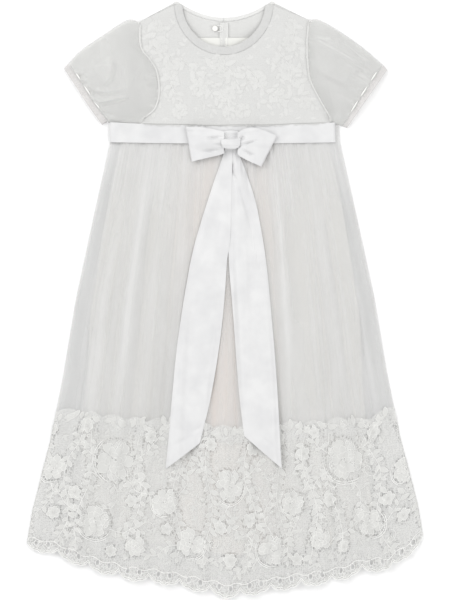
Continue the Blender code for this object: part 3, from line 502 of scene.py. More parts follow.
class Relief:
    """Closed raised shapes whose points are across, along and height above the cloth, in millimetres."""

    def __init__(self, seed):
        self.points, self.faces, self.kinds, self.count = [], [], [], 0
        self.draw = np.random.default_rng(seed)

    def add(self, points, faces, kind=0):
        """Adds a closed shape. kind is 0 for filling and 1 for threads."""
        self.kinds += [kind] * len(faces)
        self.points.append(points.reshape(-1, 3))
        self.faces += [tuple(f) for f in (faces + self.count)] if isinstance(faces, np.ndarray) else [
            tuple(i + self.count for i in f) for f in faces
        ]
        self.count += len(self.points[-1])

    def plate(self, grid):
        """A closed plate from a grid of its top points."""
        across, along = grid[0, 1] - grid[0, 0], grid[1, 0] - grid[0, 0]
        if across[0] * along[1] - across[1] * along[0] < 0:
            grid = grid[:, ::-1]
        rows, columns = grid.shape[:2]
        if (rows, columns) not in PLATES:
            top = grid_faces(rows, columns)
            size = rows * columns
            PLATES[rows, columns] = np.concatenate([top, top[:, ::-1] + size, close_rim(top, size)])
        foot = grid.copy()
        foot[..., 2] = -0.1
        self.add(np.concatenate([grid.reshape(-1, 3), foot.reshape(-1, 3)]), PLATES[rows, columns])

    def cord(self, line, radius, sides=5, lift=0.0, closed=False):
        """A round thread along a line in the pattern, tapered at its ends unless it is closed."""
        line = np.asarray(line, float)
        count = len(line)
        if closed:
            run = np.roll(line, -1, 0) - np.roll(line, 1, 0)
            thick = np.full(count, radius)
        else:
            run = np.gradient(line, axis=0)
            ends = np.minimum(np.arange(count), count - 1 - np.arange(count))
            thick = radius * np.clip(0.35 + 0.35 * ends, 0, 1)
        run /= np.maximum(np.linalg.norm(run, axis=1), 1e-9)[:, None]
        beside = np.column_stack([run[:, 1], -run[:, 0]])
        turn = np.linspace(0, 2 * PI, sides, endpoint=False) + PI / 2
        flat = line[:, None] + beside[:, None] * np.cos(turn)[None, :, None] * thick[:, None, None]
        height = lift + radius * 0.3 + np.sin(turn)[None, :] * thick[:, None] * 0.6
        points = np.concatenate([flat, height[..., None]], axis=-1)
        faces = []
        for i in range(count if closed else count - 1):
            k = (i + 1) % count
            for j in range(sides):
                m = (j + 1) % sides
                faces.append((i * sides + j, k * sides + j, k * sides + m, i * sides + m))
        if not closed:
            faces.append(tuple(range(sides)))
            faces.append(tuple(range((count - 1) * sides, count * sides))[::-1])
        self.add(points, faces, 1)

    def petal(self, x, y, angle, length, width, lift=0.1, crown=0.14, sharp=0.6, curl=0.0, edge=0.0, rows=5, columns=4,
              notch=0.0):
        """A petal or leaf from its foot, with a thread round its edge where edge is its radius."""
        s = np.linspace(0, 1, rows)[:, None]
        v = np.linspace(-1, 1, columns)[None, :]
        half = width / 2 * (0.08 + 0.92 * np.sin(PI * np.clip(s ** (1.25 - 0.5 * sharp), 0.02, 0.97)) ** sharp)
        bend = curl * s * s
        out = s * length * (1 - notch * np.maximum(0, 1 - 2 * np.abs(v)) + 0.5 * notch * s * np.sin(2.5 * PI * v))
        side = half * v + bend
        ripple = 1 + 0.2 * np.sin(5 * s + 3 * v + self.draw.uniform(0, 6))
        height = lift + crown * (1 - 0.75 * v * v) * (0.4 + 0.6 * np.sin(PI * s * 0.9)) * ripple
        cos, sin = math.cos(angle), math.sin(angle)
        grid = np.stack([x + out * cos - side * sin, y + out * sin + side * cos, height], axis=-1)
        self.plate(grid)
        if edge:
            rim = np.concatenate([grid[1:, 0, :2], grid[-1, 1:-1, :2], grid[:0:-1, -1, :2]])
            self.cord(curve(rim, np.linspace(0, 1, 10)), edge, 3, lift + 0.05)

    def rose(self, x, y, size, turn=0.0, edge=0.42):
        """A full-blown rose of three rings of broad petals round a coiled heart, with a picot arc beside it."""
        rings = ((8, 0.4, 0.66, 0.6, 0.05), (6, 0.22, 0.5, 0.46, 0.15), (4, 0.06, 0.36, 0.34, 0.25))
        for count, ring, long, wide, lift in rings:
            for i in range(count):
                angle = turn + 4 * lift + 2 * PI * (i + self.draw.uniform(-0.2, 0.2)) / count
                lean = angle + self.draw.uniform(-0.2, 0.8)
                scale = size * self.draw.uniform(0.88, 1.1)
                self.petal(x + ring * size * math.cos(angle), y + ring * size * math.sin(angle), lean, scale * long,
                           scale * wide, lift, 0.14, 0.4, self.draw.uniform(-0.12, 0.12) * size, edge, notch=0.16)
        t = np.linspace(0.4, 3.4 * PI, 20)
        r = 0.15 * size * (1 - t / (4.2 * PI))
        self.cord(np.column_stack([x + r * np.cos(t + turn), y + r * np.sin(t + turn)]), edge or 0.3, 4, 0.4)
        if edge and size > 12:
            for reach, round_it in ((1.16, 2.3), (1.27, 1.9)):
                t = turn + 1.9 + np.linspace(0, round_it, 18)
                self.cord(np.column_stack([x + reach * size * np.cos(t), y + reach * size * np.sin(t)]), 0.38, 4)

    def blossom(self, x, y, size, turn=0.0, petals=5, edge=0.0):
        """A small open flower with a bead in its middle."""
        for i in range(petals):
            angle = turn + 2 * PI * i / petals
            self.petal(x, y, angle, size, size * 0.85, 0.1, 0.14, 0.5, 0.0, edge)
        self.bead(x, y, size * 0.2, 0.1)

    def bead(self, x, y, radius, lift=0.1):
        """A small dome."""
        turn = np.linspace(0, 2 * PI, 9)
        rise = np.array([1.0, 0.75, 0.3, 0.02])
        flat = np.sqrt(1 - rise**2 * 0.98)
        grid = np.stack([
            x + radius * flat[:, None] * np.cos(turn), y + radius * flat[:, None] * np.sin(turn),
            np.repeat(lift + radius * rise[:, None] * 0.8, 9, axis=1),
        ], axis=-1)[:, :-1]
        ring, size = grid.shape[1], grid.shape[0]
        faces = [tuple(f) for f in grid_faces(size, ring, ring=True)[:, ::-1]]
        faces += [tuple(range(ring)), tuple(range((size - 1) * ring, size * ring))[::-1]]
        self.add(grid, faces)

    def spray(self, line, leaf=7.0, every=7.0, stem=0.4, wide=0.42, edge=0.0, start=0.08, free=None):
        """A stem along a smooth line with leaves on both sides by turns, where free says that there is room."""
        line = np.asarray(line, float)
        path = curve(line, np.linspace(0, 1, 12 * len(line)))
        length = np.linalg.norm(np.diff(path, axis=0), axis=1).sum()
        path = resample(path, 2.2)
        self.cord(path, stem, 3, 0.15)
        count = max(1, int(length / every))
        for i in range(count):
            share = start + (1 - start) * (i + 0.5) / count
            k = min(int(share * (len(path) - 1)), len(path) - 2)
            run = path[k + 1] - path[k]
            side = 1 if i % 2 else -1
            angle = math.atan2(run[1], run[0]) + side * self.draw.uniform(0.55, 0.95)
            size = leaf * self.draw.uniform(0.75, 1.2)
            if free is None or free(*path[k]):
                self.petal(*path[k], angle, size, size * wide, 0.05, 0.14, 0.8, side * size * 0.14, edge)
        run = path[-1] - path[-2]
        self.petal(*path[-1], math.atan2(run[1], run[0]), leaf * 0.7, leaf * wide * 0.7, 0.05, 0.14, 0.8, 0, edge)

    def scroll(self, x, y, size, turn, hand=1, turns=1.4, stem=0.45):
        """A stem that coils up, with a bead in its eye and small lobes along its back."""
        t = np.linspace(0, 2 * PI * turns, int(22 * turns))
        r = size * np.exp(-0.26 * t)
        px, py = x + r * np.cos(turn + hand * t), y + r * np.sin(turn + hand * t)
        self.cord(np.column_stack([px, py]), stem, 3, 0.15)
        self.bead(px[-1], py[-1], size * 0.13, 0.2)
        for k in range(2, int(len(t) * 0.5), 3):
            angle = turn + hand * t[k]
            self.petal(px[k], py[k], angle, size * 0.34, size * 0.26, 0.05, 0.14, 0.6, 0, 0.0, 4, 3)

    def lay(self, name, surface, paint):
        """Makes the mesh, with each point at its height above the surface."""
        points = np.concatenate(self.points)
        x, y, z = surface(points[:, 0], points[:, 1])
        return make(name, np.column_stack([x, y, z + points[:, 2]]), self.faces, paint, angle=60, kinds=self.kinds)


PLATES = {}


# Materials


class Paint:
    """A Principled material with helpers for its nodes."""

    def __init__(self, name, **plain):
        self.made = bpy.data.materials.new(name)
        self.made.use_nodes = True
        self.tree = self.made.node_tree
        self.shader = self.tree.nodes["Principled BSDF"]
        self.place = self.node("ShaderNodeTexCoord").outputs["Object"]
        for key, value in plain.items():
            self.set(key.replace("_", " "), value)

    def feed(self, socket, value):
        """Links a node's output to a socket, or sets a plain value there."""
        if isinstance(value, bpy.types.NodeSocket):
            self.tree.links.new(value, socket)
        elif value is not None:
            is_colour = socket.type == "RGBA" and len(value) == 3
            socket.default_value = (*value, 1.0) if is_colour else value

    def set(self, key, value):
        self.feed(self.shader.inputs[key], value)

    def node(self, kind, *values, **settings):
        made = self.tree.nodes.new(kind)
        for key, value in settings.items():
            setattr(made, key, value)
        for socket, value in zip(made.inputs, values):
            self.feed(socket, value)
        return made

    def maths(self, operation, *values):
        return self.node("ShaderNodeMath", *values, operation=operation).outputs[0]

    def stretch(self, x, y):
        """The place in the cloth in millimetres times x and y."""
        made = self.node("ShaderNodeMapping", self.place)
        made.inputs["Scale"].default_value = (x / MM, y / MM, x / MM)
        return made.outputs[0]

    def noise(self, x, y, detail):
        """Soft cloud, with x and y features to a millimetre."""
        made = self.node("ShaderNodeTexNoise", self.stretch(x, y))
        made.inputs["Scale"].default_value = 1.0
        made.inputs["Detail"].default_value = detail
        return made.outputs["Fac"]

    def remap(self, value, low, high, to_low=0.0, to_high=1.0):
        return self.node("ShaderNodeMapRange", value, low, high, to_low, to_high).outputs[0]

    def mix(self, share, first, second):
        made = self.node("ShaderNodeMix", data_type="RGBA")
        for key, value in ((0, share), (6, first), (7, second)):
            self.feed(made.inputs[key], value)
        return made.outputs[2]

    def net(self, pitch):
        """1 on the threads of a honeycomb net and 0 in its holes."""
        k = 4 * PI / (math.sqrt(3) * pitch) * 1000
        total = None
        for x, y in ((1, 0), (0.5, 0.866), (-0.5, 0.866)):
            dot = self.node("ShaderNodeVectorMath", self.place, (k * x, k * y, 0), operation="DOT_PRODUCT")
            wave = self.maths("COSINE", dot.outputs["Value"])
            total = wave if total is None else self.maths("ADD", total, wave)
        return self.remap(total, -0.2, -1.1)

    def bump(self, height, distance, strength=1.0):
        made = self.node("ShaderNodeBump")
        made.inputs["Strength"].default_value = strength
        made.inputs["Distance"].default_value = distance * MM
        self.tree.links.new(height, made.inputs["Height"])
        self.set("Normal", made.outputs[0])

    def attribute(self, name):
        return self.node("ShaderNodeAttribute", attribute_name=name).outputs["Fac"]


def tulle_paint(name, colour, hole, thread):
    """Sheer net. hole and thread are how solid it looks, and the attribute dense makes it more so."""
    paint = Paint(name, Roughness=0.7, Sheen_Weight=0.15)
    net = paint.net(1.3)
    cloud = paint.noise(0.03, 0.012, 3.0)
    dense = paint.attribute("dense")
    alpha = paint.remap(net, 0, 1, hole, thread)
    alpha = paint.maths("ADD", alpha, paint.remap(cloud, 0.3, 0.7, -0.04, 0.04))
    alpha = paint.maths("ADD", alpha, paint.maths("MULTIPLY", dense, 0.3))
    paint.set("Alpha", paint.node("ShaderNodeClamp", alpha, 0.0, 1.0).outputs[0])
    dark = tuple(c * 0.94 for c in colour)
    paint.set("Base Color", paint.mix(cloud, dark, colour))
    paint.bump(net, 0.15, 0.4)
    return paint.made


def satin_paint():
    """Smooth white ribbon with soft uneven patches."""
    paint = Paint("satin", Roughness=0.42, Sheen_Weight=0.25, Anisotropic=0.4)
    blotch = paint.noise(0.05, 0.05, 2.0)
    weave = paint.noise(1.2, 8.0, 1.0)
    paint.set("Base Color", paint.mix(paint.remap(blotch, 0.3, 0.7), (0.657, 0.657, 0.662), (0.725, 0.725, 0.725)))
    paint.set("Roughness", paint.remap(blotch, 0.3, 0.7, 0.38, 0.5))
    paint.bump(weave, 0.03, 0.3)
    return paint.made


def lining_paint(name, colour, centre):
    """Smooth cream cloth, a little warmer in the middle of the dress."""
    paint = Paint(name, Roughness=0.55, Sheen_Weight=0.2)
    cloud = paint.noise(0.02, 0.02, 2.0)
    weave = paint.noise(3.0, 3.0, 1.0)
    place = paint.node("ShaderNodeSeparateXYZ", paint.place)
    off = paint.maths("ABSOLUTE", paint.maths("SUBTRACT", place.outputs[0], 0.002))
    low = paint.remap(place.outputs[1], -0.21, -0.14, 0.65, 0.0)
    tone = paint.mix(paint.maths("MAXIMUM", paint.remap(off, 0.02, 0.075), low), centre, colour)
    paint.set("Base Color", paint.mix(paint.remap(cloud, 0.3, 0.7, 0.0, 0.12), tone, (0.6, 0.6, 0.59)))
    paint.set("Roughness", paint.remap(cloud, 0.3, 0.7, 0.5, 0.6))
    paint.bump(weave, 0.05, 0.4)
    return paint.made


def lace_paint(name, colour, hole, thread, relief):
    """The ground of lace: an uneven net between threads, with holes where the attribute open is high. The net's holes
    and the open specks are painted darker as shade.
    """
    paint = Paint(name, Roughness=0.8, Sheen_Weight=0.1)

    def cells(x, y, feature):
        made = paint.node("ShaderNodeTexVoronoi", paint.stretch(x, y), feature=feature)
        made.inputs["Scale"].default_value = 1.0
        made.inputs["Randomness"].default_value = 0.8
        return made.outputs["Distance"]

    net = paint.remap(cells(0.62, 0.4, "DISTANCE_TO_EDGE"), 0.2, 0.06)
    hole_and_shade_speck = paint.remap(cells(0.42, 0.36, "F1"), 0.5, 0.34)
    hole_and_shade_speck = paint.maths("MULTIPLY", hole_and_shade_speck, paint.attribute("open"))
    alpha = paint.remap(net, 0, 1, hole, thread)
    alpha = paint.maths("MULTIPLY", alpha, paint.remap(hole_and_shade_speck, 0.0, 0.8, 1.0, 0.3))
    alpha = paint.maths("ADD", alpha, paint.maths("MULTIPLY", paint.attribute("dense"), 0.3))
    paint.set("Alpha", paint.node("ShaderNodeClamp", alpha, 0.0, 1.0).outputs[0])
    # Painted shade: the net's holes are darker by relief, and the open specks much darker
    tone = paint.mix(net, tuple(c * (1 - 0.12 * relief) for c in colour), colour)
    paint.set("Base Color", paint.mix(hole_and_shade_speck, tone, tuple(c * 0.6 for c in colour)))
    paint.bump(net, 0.3, relief)
    return paint.made


def thread_paint(name, dark, light):
    """Dense stitching, between a dark and a light tone."""
    paint = Paint(name, Roughness=0.75, Sheen_Weight=0.1)
    cloud = paint.noise(0.05, 0.05, 2.0)
    stitch = paint.noise(3.2, 1.1, 1.0)
    paint.set("Base Color", paint.mix(cloud, dark, light))
    paint.set("Roughness", paint.remap(stitch, 0.3, 0.7, 0.65, 0.85))
    paint.bump(stitch, 0.25, 0.7)
    return paint.made


# The cords are painted lighter than the filling of the same white thread, as painted highlight on the raised threads
FILL = thread_paint("lace_filling", (0.615, 0.615, 0.598), (0.68, 0.68, 0.662))
BODICE_FILL = thread_paint("bodice_filling", (0.65, 0.65, 0.638), (0.695, 0.695, 0.68))
BODICE_CORD_HIGHLIGHT = thread_paint("bodice_cord_highlight", (0.70, 0.70, 0.685), (0.78, 0.78, 0.765))
CORD_HIGHLIGHT = thread_paint("lace_cord_highlight", (0.82, 0.82, 0.80), (0.88, 0.88, 0.86))
THREAD = (FILL, CORD_HIGHLIGHT)
TULLE = tulle_paint("tulle", (0.85, 0.85, 0.845), 0.22, 0.52)
PUFF = tulle_paint("sleeve_tulle", (0.86, 0.86, 0.845), 0.25, 0.45)
CUFF = tulle_paint("cuff_tulle", (0.80, 0.785, 0.775), 0.45, 0.7)
YOKE = tulle_paint("yoke_tulle", (0.85, 0.85, 0.835), 0.55, 0.8)
BINDING = tulle_paint("binding_tulle", (0.655, 0.655, 0.645), 0.8, 0.95)
LINING_CLOTH = lining_paint("lining", (0.685, 0.67, 0.632), (0.82, 0.70, 0.62))
YOKE_LINING = lining_paint("yoke_lining", (0.80, 0.80, 0.765), (0.80, 0.80, 0.765))
SATIN_CLOTH = satin_paint()
LACE_NET = lace_paint("lace_net", (0.87, 0.87, 0.855), 0.38, 0.52, 0.35)
BODICE_NET = lace_paint("bodice_lace", (0.668, 0.668, 0.656), 0.92, 0.96, 0.12)
# Painted shadow: a dark grey thread that stands for the shadow under the bodice's lower edge along the sash
WAIST_SHADOW_GREY = thread_paint("painted_shadow_thread", (0.43, 0.43, 0.42), (0.5, 0.5, 0.49))
PEARL = Paint("pearl", Roughness=0.25, Base_Color=(0.86, 0.85, 0.82)).made


def dress(piece, slot, *nodes):
    """Puts a piece on the dress in place of its solids."""
    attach(piece, "root")
    if nodes:
        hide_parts(*nodes)
    return piece


def slope_of(z, x):
    """How steep a grid of heights is across, from 0 to 1."""
    return np.clip(np.abs(np.gradient(z, axis=1) / np.maximum(np.gradient(x, axis=1), 1e-6)), 0, 1.5) / 1.5


# The skirt


LIGHT_BANDS = (  # across, half width, strength, start and end down the skirt
    (-0.64, 0.035, 0.7, 0.05, 0.45), (0.415, 0.03, 0.7, 0.05, 0.42), (-0.30, 0.02, 0.3, 0.1, 0.5),
    (0.72, 0.025, 0.4, 0.1, 0.5), (-0.83, 0.03, 0.4, 0.2, 0.6), (0.24, 0.02, 0.3, 0.2, 0.6),
    (0.90, 0.02, 0.3, 0.2, 0.6),
)


def skirt_grid(a, d, low):
    """Points of the skirt at the height that low gives."""
    x, y = skirt_plan(a, d)
    return np.stack([x, y, low(a, d)], axis=-1)


def front_tulle():
    """The front tulle, more solid at its steep folds, at the waist and in a few light bands."""
    a, share = np.meshgrid(np.linspace(-1, 1, 361), np.linspace(0, 1, 80))
    d = share * (lace_line(a) + LACE_LAP)
    grid = skirt_grid(a, d, tulle_low)
    dense = slope_of(grid[..., 2], grid[..., 0]) + 0.6 * (1 - smooth(d, 0.0, 0.25))
    for at, wide, much, start, end in LIGHT_BANDS:
        dense = dense + much * bell(a - at, wide) * between(d, (start, start + 0.2), (end, end + 0.2))
    piece = shell("skirt_front_tulle", grid, SHEER, TULLE, side=-1, attributes={"dense": dense})
    return dress(piece, "tulle", "skirt_front")


def back_low(a, d):
    """The back tulle, whose soft folds the weight of the skirt has pressed flat."""
    inset = half_width(d) * (1 - np.abs(a))
    folds = np.interp(-a, FOLD_TABLE_A, FOLD_TABLE) * np.interp(d, GROWTH_D, GROWTH_Z) * 0.09
    fine = ridges(-a, d, GATHERS[::2]) * 0.12
    return np.minimum((folds + fine) * interp(SIDE_FOLD, inset), 0.75) + 0.05


def back_tulle():
    """The back tulle, from the sash to the lobes of the lace."""
    a, share = np.meshgrid(np.linspace(-1, 1, 221), np.linspace(0, 1, 50))
    top = down_at(sash_bottom(a) - GAP, a)
    d = top + share * (lace_line(a) - GAP / LENGTH - top)
    grid = skirt_grid(a, d, back_low)
    dense = 0.4 * (1 - smooth(d, 0.0, 0.25))
    piece = shell("skirt_back_tulle", grid, SHEER, TULLE, side=-1, attributes={"dense": dense})
    return dress(piece, "tulle", "skirt_back")


def lining_grid(low, phase):
    """The lining, narrower than the skirt, with soft waves."""
    u, share = np.meshgrid(np.linspace(-1, 1, 91), np.linspace(0, 1, 40))
    bottom = LINING_HEM - LINING_HEM_SAG * (1 - (u * 0.76) ** 2)
    d = 0.006 + (bottom - 0.006) * share
    a = u * (1 - interp(LINING_INSET, d) / half_width(d))
    x, y = skirt_plan(a, d)
    wave = 0.22 * np.sin(a * 31 + phase + 2 * np.sin(d * 3)) * smooth(d, 0.05, 0.4)
    return np.stack([x, y, low + 0.3 + wave], axis=-1)


def linings():
    """The two linings, one on the other."""
    back = shell("skirt_lining_lower", lining_grid(1.5, 0.0), 0.4, LINING_CLOTH, side=-1)
    dress(back, "lining", "skirt_lining_back")
    front = shell("skirt_lining_upper", lining_grid(2.8, 1.7), 0.4, LINING_CLOTH, side=-1)
    dress(front, "lining", "skirt_lining_front")
    return back, front


def eyelets():
    """Centres, across and down, and leans of the cut gaps of the hem."""
    found = []
    for i in range(SCALLOPS):
        for side in (-0.19, 0.19):
            a = 2 * (i + 0.5 + side) / SCALLOPS - 1
            found.append((a, float(hem_edge(a)) - 10.5 / LENGTH, side))
    return found


def cut_eyelets(a, d):
    """Moves grid places onto the rims of the eyelets, and says which faces to keep."""
    a, d = a.copy(), d.copy()
    gone = np.zeros(a.shape, bool)
    for ca, cd, lean in eyelets():
        half = float(half_width(cd))
        x, y = (a - ca) * half, -(d - cd) * LENGTH
        u, v = x * math.cos(lean) + y * math.sin(lean), -x * math.sin(lean) + y * math.cos(lean)
        u, v = u / (EYELET[0] / 2), v / (EYELET[1] / 2)
        far = np.hypot(u, v)
        inside = far < 0.8
        rim = (far >= 0.8) & (far < 1.25)
        scale = np.where(rim, 1 / np.maximum(far, 1e-6), 1.0)
        u, v = u * scale * EYELET[0] / 2, v * scale * EYELET[1] / 2
        x, y = u * math.cos(lean) - v * math.sin(lean), u * math.sin(lean) + v * math.cos(lean)
        a = np.where(rim, ca + x / half, a)
        d = np.where(rim, cd - y / LENGTH, d)
        gone |= inside
    keep = ~(gone[:-1, :-1] | gone[1:, :-1] | gone[1:, 1:] | gone[:-1, 1:])
    return a, d, keep


def lace_grid(top, low, columns, rows):
    """The ground of a lace border down to its hem, with its eyelets cut out."""
    share = np.linspace(0, 1, rows) ** 0.9
    a, share = np.meshgrid(np.linspace(-1, 1, columns), share)
    d = top(a) + (hem_edge(a) - top(a)) * share
    a, d, keep = cut_eyelets(a, d)
    return a, d, skirt_grid(a, d, low), keep


def openness_and_shade(a, d):
    """Where the ground of the border is open, and painted dark as shade in its holes: along the outlines of its flowers
    and stems, and above the hem.
    """
    u, v = np.interp(a, fine_a, run_front), (lace_line(a) - d) * LENGTH
    found = 0.32 * smooth(d, hem_edge(a) - 0.05, hem_edge(a) - 0.02)
    for x, y, size in [rose[:3] for rose in ROSES] + list(BLOSSOMS):
        found = np.maximum(found, 0.8 * bell(np.hypot(u - x, v - y) - size * 1.12, 2.0))
    for at, down, _ in eyelets():
        x, y = np.interp(at, fine_a, run_front), (lace_line(at) - down) * LENGTH
        found = np.maximum(found, 0.9 * np.exp(-(((u - x) / 7) ** 2) - ((v - y - 1) / 5) ** 2))
    points = np.column_stack([u.ravel(), v.ravel()])
    for line in VINES:
        away = line_distance(points, curve(line, np.linspace(0, 1, 14))).reshape(u.shape)
        found = np.maximum(found, 0.6 * bell(away - 8.0, 1.8))
    return found


def lace_borders():
    """The grounds of the front and the back border."""
    made = []
    sides = (("front", lace_edge, lace_low, 441, 70), ("back", lace_line, back_low, 301, 36))
    for word, top, low, columns, rows in sides:
        a, d, grid, keep = lace_grid(top, low, columns, rows)
        attributes = {"open": openness_and_shade(a, d), "dense": slope_of(grid[..., 2], grid[..., 0]) * 0.6}
        net = shell(f"lace_border_{word}_net", grid, LACE, LACE_NET, side=-1, keep=keep, attributes=attributes)
        dress(net, "lace", f"lace_border_{word}")
        made.append(net)
    return made


# The bodice

CLOSED_EDGES = [
    np.vstack([[SHOULDER_TIPS[0]], curve(LEFT_ARMHOLE, np.linspace(0, 1, 30))]),
    np.vstack([[SHOULDER_TIPS[1]], curve(RIGHT_ARMHOLE, np.linspace(0, 1, 30))]),
]


def chest_low(x, y):
    """The underside of the bodice's front."""
    points = np.column_stack([np.ravel(x), np.ravel(y)])
    reach = np.minimum(*[line_distance(points, line) for line in CLOSED_EDGES]).reshape(np.shape(x))
    seat = 1.8 + 1.3 * smooth(reach, 0, 10)
    chest = seat + 6.0 * smooth(reach, 3, 60)
    top = sash_top_at(x)
    waist = 1.8 + 6.3 * smooth(reach, 0, 9)
    soft = 0.5 * np.sin(x * 0.09 + 1.2 * np.sin(y * 0.05)) * smooth(reach, 8, 40) * smooth(y, top + 4, top + 40)
    gather = 0.55 * np.sin(x * 0.55 + np.sin(x * 0.21) * 2) * (1 - smooth(y, top - 4, top + 16))
    neck = 60 * (np.hypot((x - NECK_CENTRE[0]) / NECK_RADII[0], (y - NECK_CENTRE[1]) / NECK_RADII[1]) - 1)
    chest = chest - 3.2 * (1 - smooth(neck, -8, 26)) * smooth(reach, 6, 30)
    return waist + (chest - waist) * smooth(y, top - 2, top + 24) + soft + gather * smooth(reach, 4, 14)


def neck_arc(count, inset):
    """The neckline from left to right, moved in by inset."""
    turn = np.linspace(0.02, 0.98, count)
    angle = PI * (1 + turn)
    return np.column_stack([
        NECK_CENTRE[0] + (NECK_RADII[0] - inset) * np.cos(angle),
        NECK_CENTRE[1] + (NECK_RADII[1] - inset) * np.sin(angle),
    ])


def front_bodice():
    """The bodice's lace between the neck, the armholes and the waist."""
    left, right = curve(LEFT_ARMHOLE, np.linspace(0, 1, 60)), curve(RIGHT_ARMHOLE, np.linspace(0, 1, 60))
    xs = np.linspace(right[-1, 0], left[-1, 0], 60)
    reach = np.minimum(xs[0] - xs, xs - xs[-1])
    hem = np.column_stack([xs, sash_top_at(xs) + GAP - (1.6 + 0.3 * np.sin(xs * 0.31)) * smooth(reach, 2, 14)])
    outline = np.vstack([neck_arc(60, -GAP), right, hem[1:-1], left[::-1]])
    plain = {"open": lambda x, y: 0 * x, "dense": lambda x, y: 0 * x}
    piece = panel("bodice_front_lace", outline, chest_low, LACE, BODICE_NET, step=2.6, attributes=plain)
    return dress(piece, "lace", "bodice_front")


def neck_binding():
    """The puckered band round the front of the neck."""
    turn = np.linspace(0.02, 0.98, 121)
    inset = np.linspace(0.0, NECK_BAND, 11)
    rows = []
    for i, depth in enumerate(inset):
        line = neck_arc(121, depth)
        z = chest_low(line[:, 0], line[:, 1]) + 0.4 + 0.5 * math.sin(PI * i / 10)
        z = z + 0.12 * np.sin(turn * 190 + 2 * np.sin(turn * 31)) * math.sin(PI * i / 10)
        rows.append(np.column_stack([line, z]))
    grid = np.array(rows)[::-1]
    dense = np.full(grid.shape[:2], 0.2)
    piece = shell("neck_binding", grid, SHEER, BINDING, side=-1, attributes={"dense": dense})
    return dress(piece, "tulle", "neck_band_front")


def back_neck_y(x):
    """y of the back's neckline."""
    left, right = SHOULDER_TIPS[0][0], SHOULDER_TIPS[1][0]
    middle, half = (left + right) / 2, (right - left) / 2
    return SHOULDER_TIPS[0][1] - BACK_NECK_DEPTH * (1 - np.minimum(np.abs((x - middle) / half), 1) ** 2)


def slit_edge(y, side):
    """x of one edge of the back's slit, which widens at the button."""
    low, high, half = KEYHOLE
    bulge = np.where((y > low) & (y < high), half * np.sin(PI * (y - low) / (high - low)), 0)
    return SLIT_X + side * (GAP / 2 + bulge)


def back_halves():
    """The two halves of the bodice's back, with a slit between them, and their neck bands."""
    made = []
    for word, side in (("left", -1), ("right", 1)):
        tip = SHOULDER_TIPS[0 if side < 0 else 1]
        arm = curve(LEFT_ARMHOLE if side < 0 else RIGHT_ARMHOLE, np.linspace(0, 1, 40))
        xs = np.linspace(SLIT_X + side * GAP / 2, tip[0], 24)
        neck = np.column_stack([xs[:-1], back_neck_y(xs[:-1]) - BACK_BAND - GAP])
        corner = [(tip[0] + side * 4.5, tip[1] - BACK_BAND + 1.1)]
        foot = np.linspace(arm[-1][0], xs[0], 20)
        hem = np.column_stack([foot, sash_top_at(foot) + GAP])
        ys = np.linspace(hem[-1][1], neck[0][1], 70)[1:-1]
        slit = np.column_stack([slit_edge(ys, side), ys])
        outline = np.vstack([neck, corner, arm[:-1], hem, slit])

        def low(x, y):
            return 0.3 + 0.25 * np.sin(x * 0.11 + np.sin(y * 0.07)) * np.sin(y * 0.05)

        half = panel(f"back_{word}", outline, low, SHEER, YOKE, step=4.0, attributes={"dense": lambda x, y: x * 0})
        dress(half, "tulle", f"bodice_back_{word}")
        edge = np.column_stack([xs, back_neck_y(xs)])
        inner = np.column_stack([xs[:-1], back_neck_y(xs[:-1]) - BACK_BAND])[::-1]
        band = np.vstack([edge, [(tip[0] + side * 4.5, tip[1] - BACK_BAND + 1.5)], inner])
        binding = panel(f"neck_edge_{word}", band, lambda x, y: 0.2 + 0 * x, 1.1, YOKE, step=2.0, edge=1.5,
                        attributes={"dense": lambda x, y: x * 0 + 0.6})
        dress(binding, "tulle", f"neck_band_back_{word}")
        made += [half, binding]
    return made


def bodice_lining():
    """The back's lining, whose edges show inside the neck."""
    slit = [(SLIT_X + 0.3, LINING_TOP_Y), (SLIT_X, 232.0), (SLIT_X - 0.3, LINING_TOP_Y)]
    outline = np.array([*LINING_LEFT, *LINING_RIGHT, *slit])

    def low(x, y):
        return 1.9 + 0.1 * np.sin(x * 0.2)

    piece = panel("back_lining", outline, low, 0.5, YOKE_LINING, step=5.0, edge=3.0)
    return dress(piece, "lining", "bodice_lining_back")


def placket():
    """The strip behind the back opening, and the loop that holds the button."""
    left, right, bottom, top = PLACKET
    outline = [(left, bottom), (right, bottom), (right, top), (left, top)]

    def low(x, y):
        return 2.1 + 0.15 * np.cos((x + 1.3) * 1.1)

    def sheer(x, y):
        return x * 0 + 0.1

    strip = panel("back_placket", outline, low, SHEER, YOKE, step=2.0, attributes={"dense": sheer})
    dress(strip, "tulle")
    relief = Relief(3)
    turn = np.linspace(-0.6, PI + 0.6, 22)
    x, y = BUTTON_AT[0] + 5.0 + 4.6 * np.sin(turn), BUTTON_AT[1] + 3.8 * np.cos(turn)
    relief.cord(np.column_stack([x, y]), 0.4)
    loop = relief.lay("button_loop", lambda u, v: (u, v, 2.9 + 0 * u), THREAD)
    return strip, dress(loop, "lace")


# The flowers of the lace border, placed in its flat pattern: x across and y upwards from the top edge

# Lengths along the border's folds at one place down it: how far a place across is from the middle when laid flat
BORDER_D = 0.86
fine_a = np.linspace(-1, 1, 4001)
fine_x, _ = skirt_plan(fine_a, BORDER_D)
fine_z = lace_low(fine_a, BORDER_D + 0 * fine_a)
run_front = np.concatenate([[0], np.cumsum(np.hypot(np.diff(fine_x), np.diff(fine_z)))])
run_front -= np.interp(0, fine_a, run_front)
HALF_RUN = float(min(-run_front[0], run_front[-1]))


def border_place(u, v):
    """Across and down for a place of the flat border."""
    a = np.interp(u, run_front, fine_a)
    return a, lace_line(a) - v / LENGTH


def border_front(u, v):
    """The top of the front border for a place of the flat border."""
    a, d = border_place(u, v)
    x, y = skirt_plan(a, d)
    return x, y, lace_low(a, d) + LACE


def border_back(u, v):
    """The outer side of the back border for a place of the flat border."""
    a, d = border_place(u, v)
    x, y = skirt_plan(a, d)
    return x, y, back_low(a, d) + LACE * 0.4


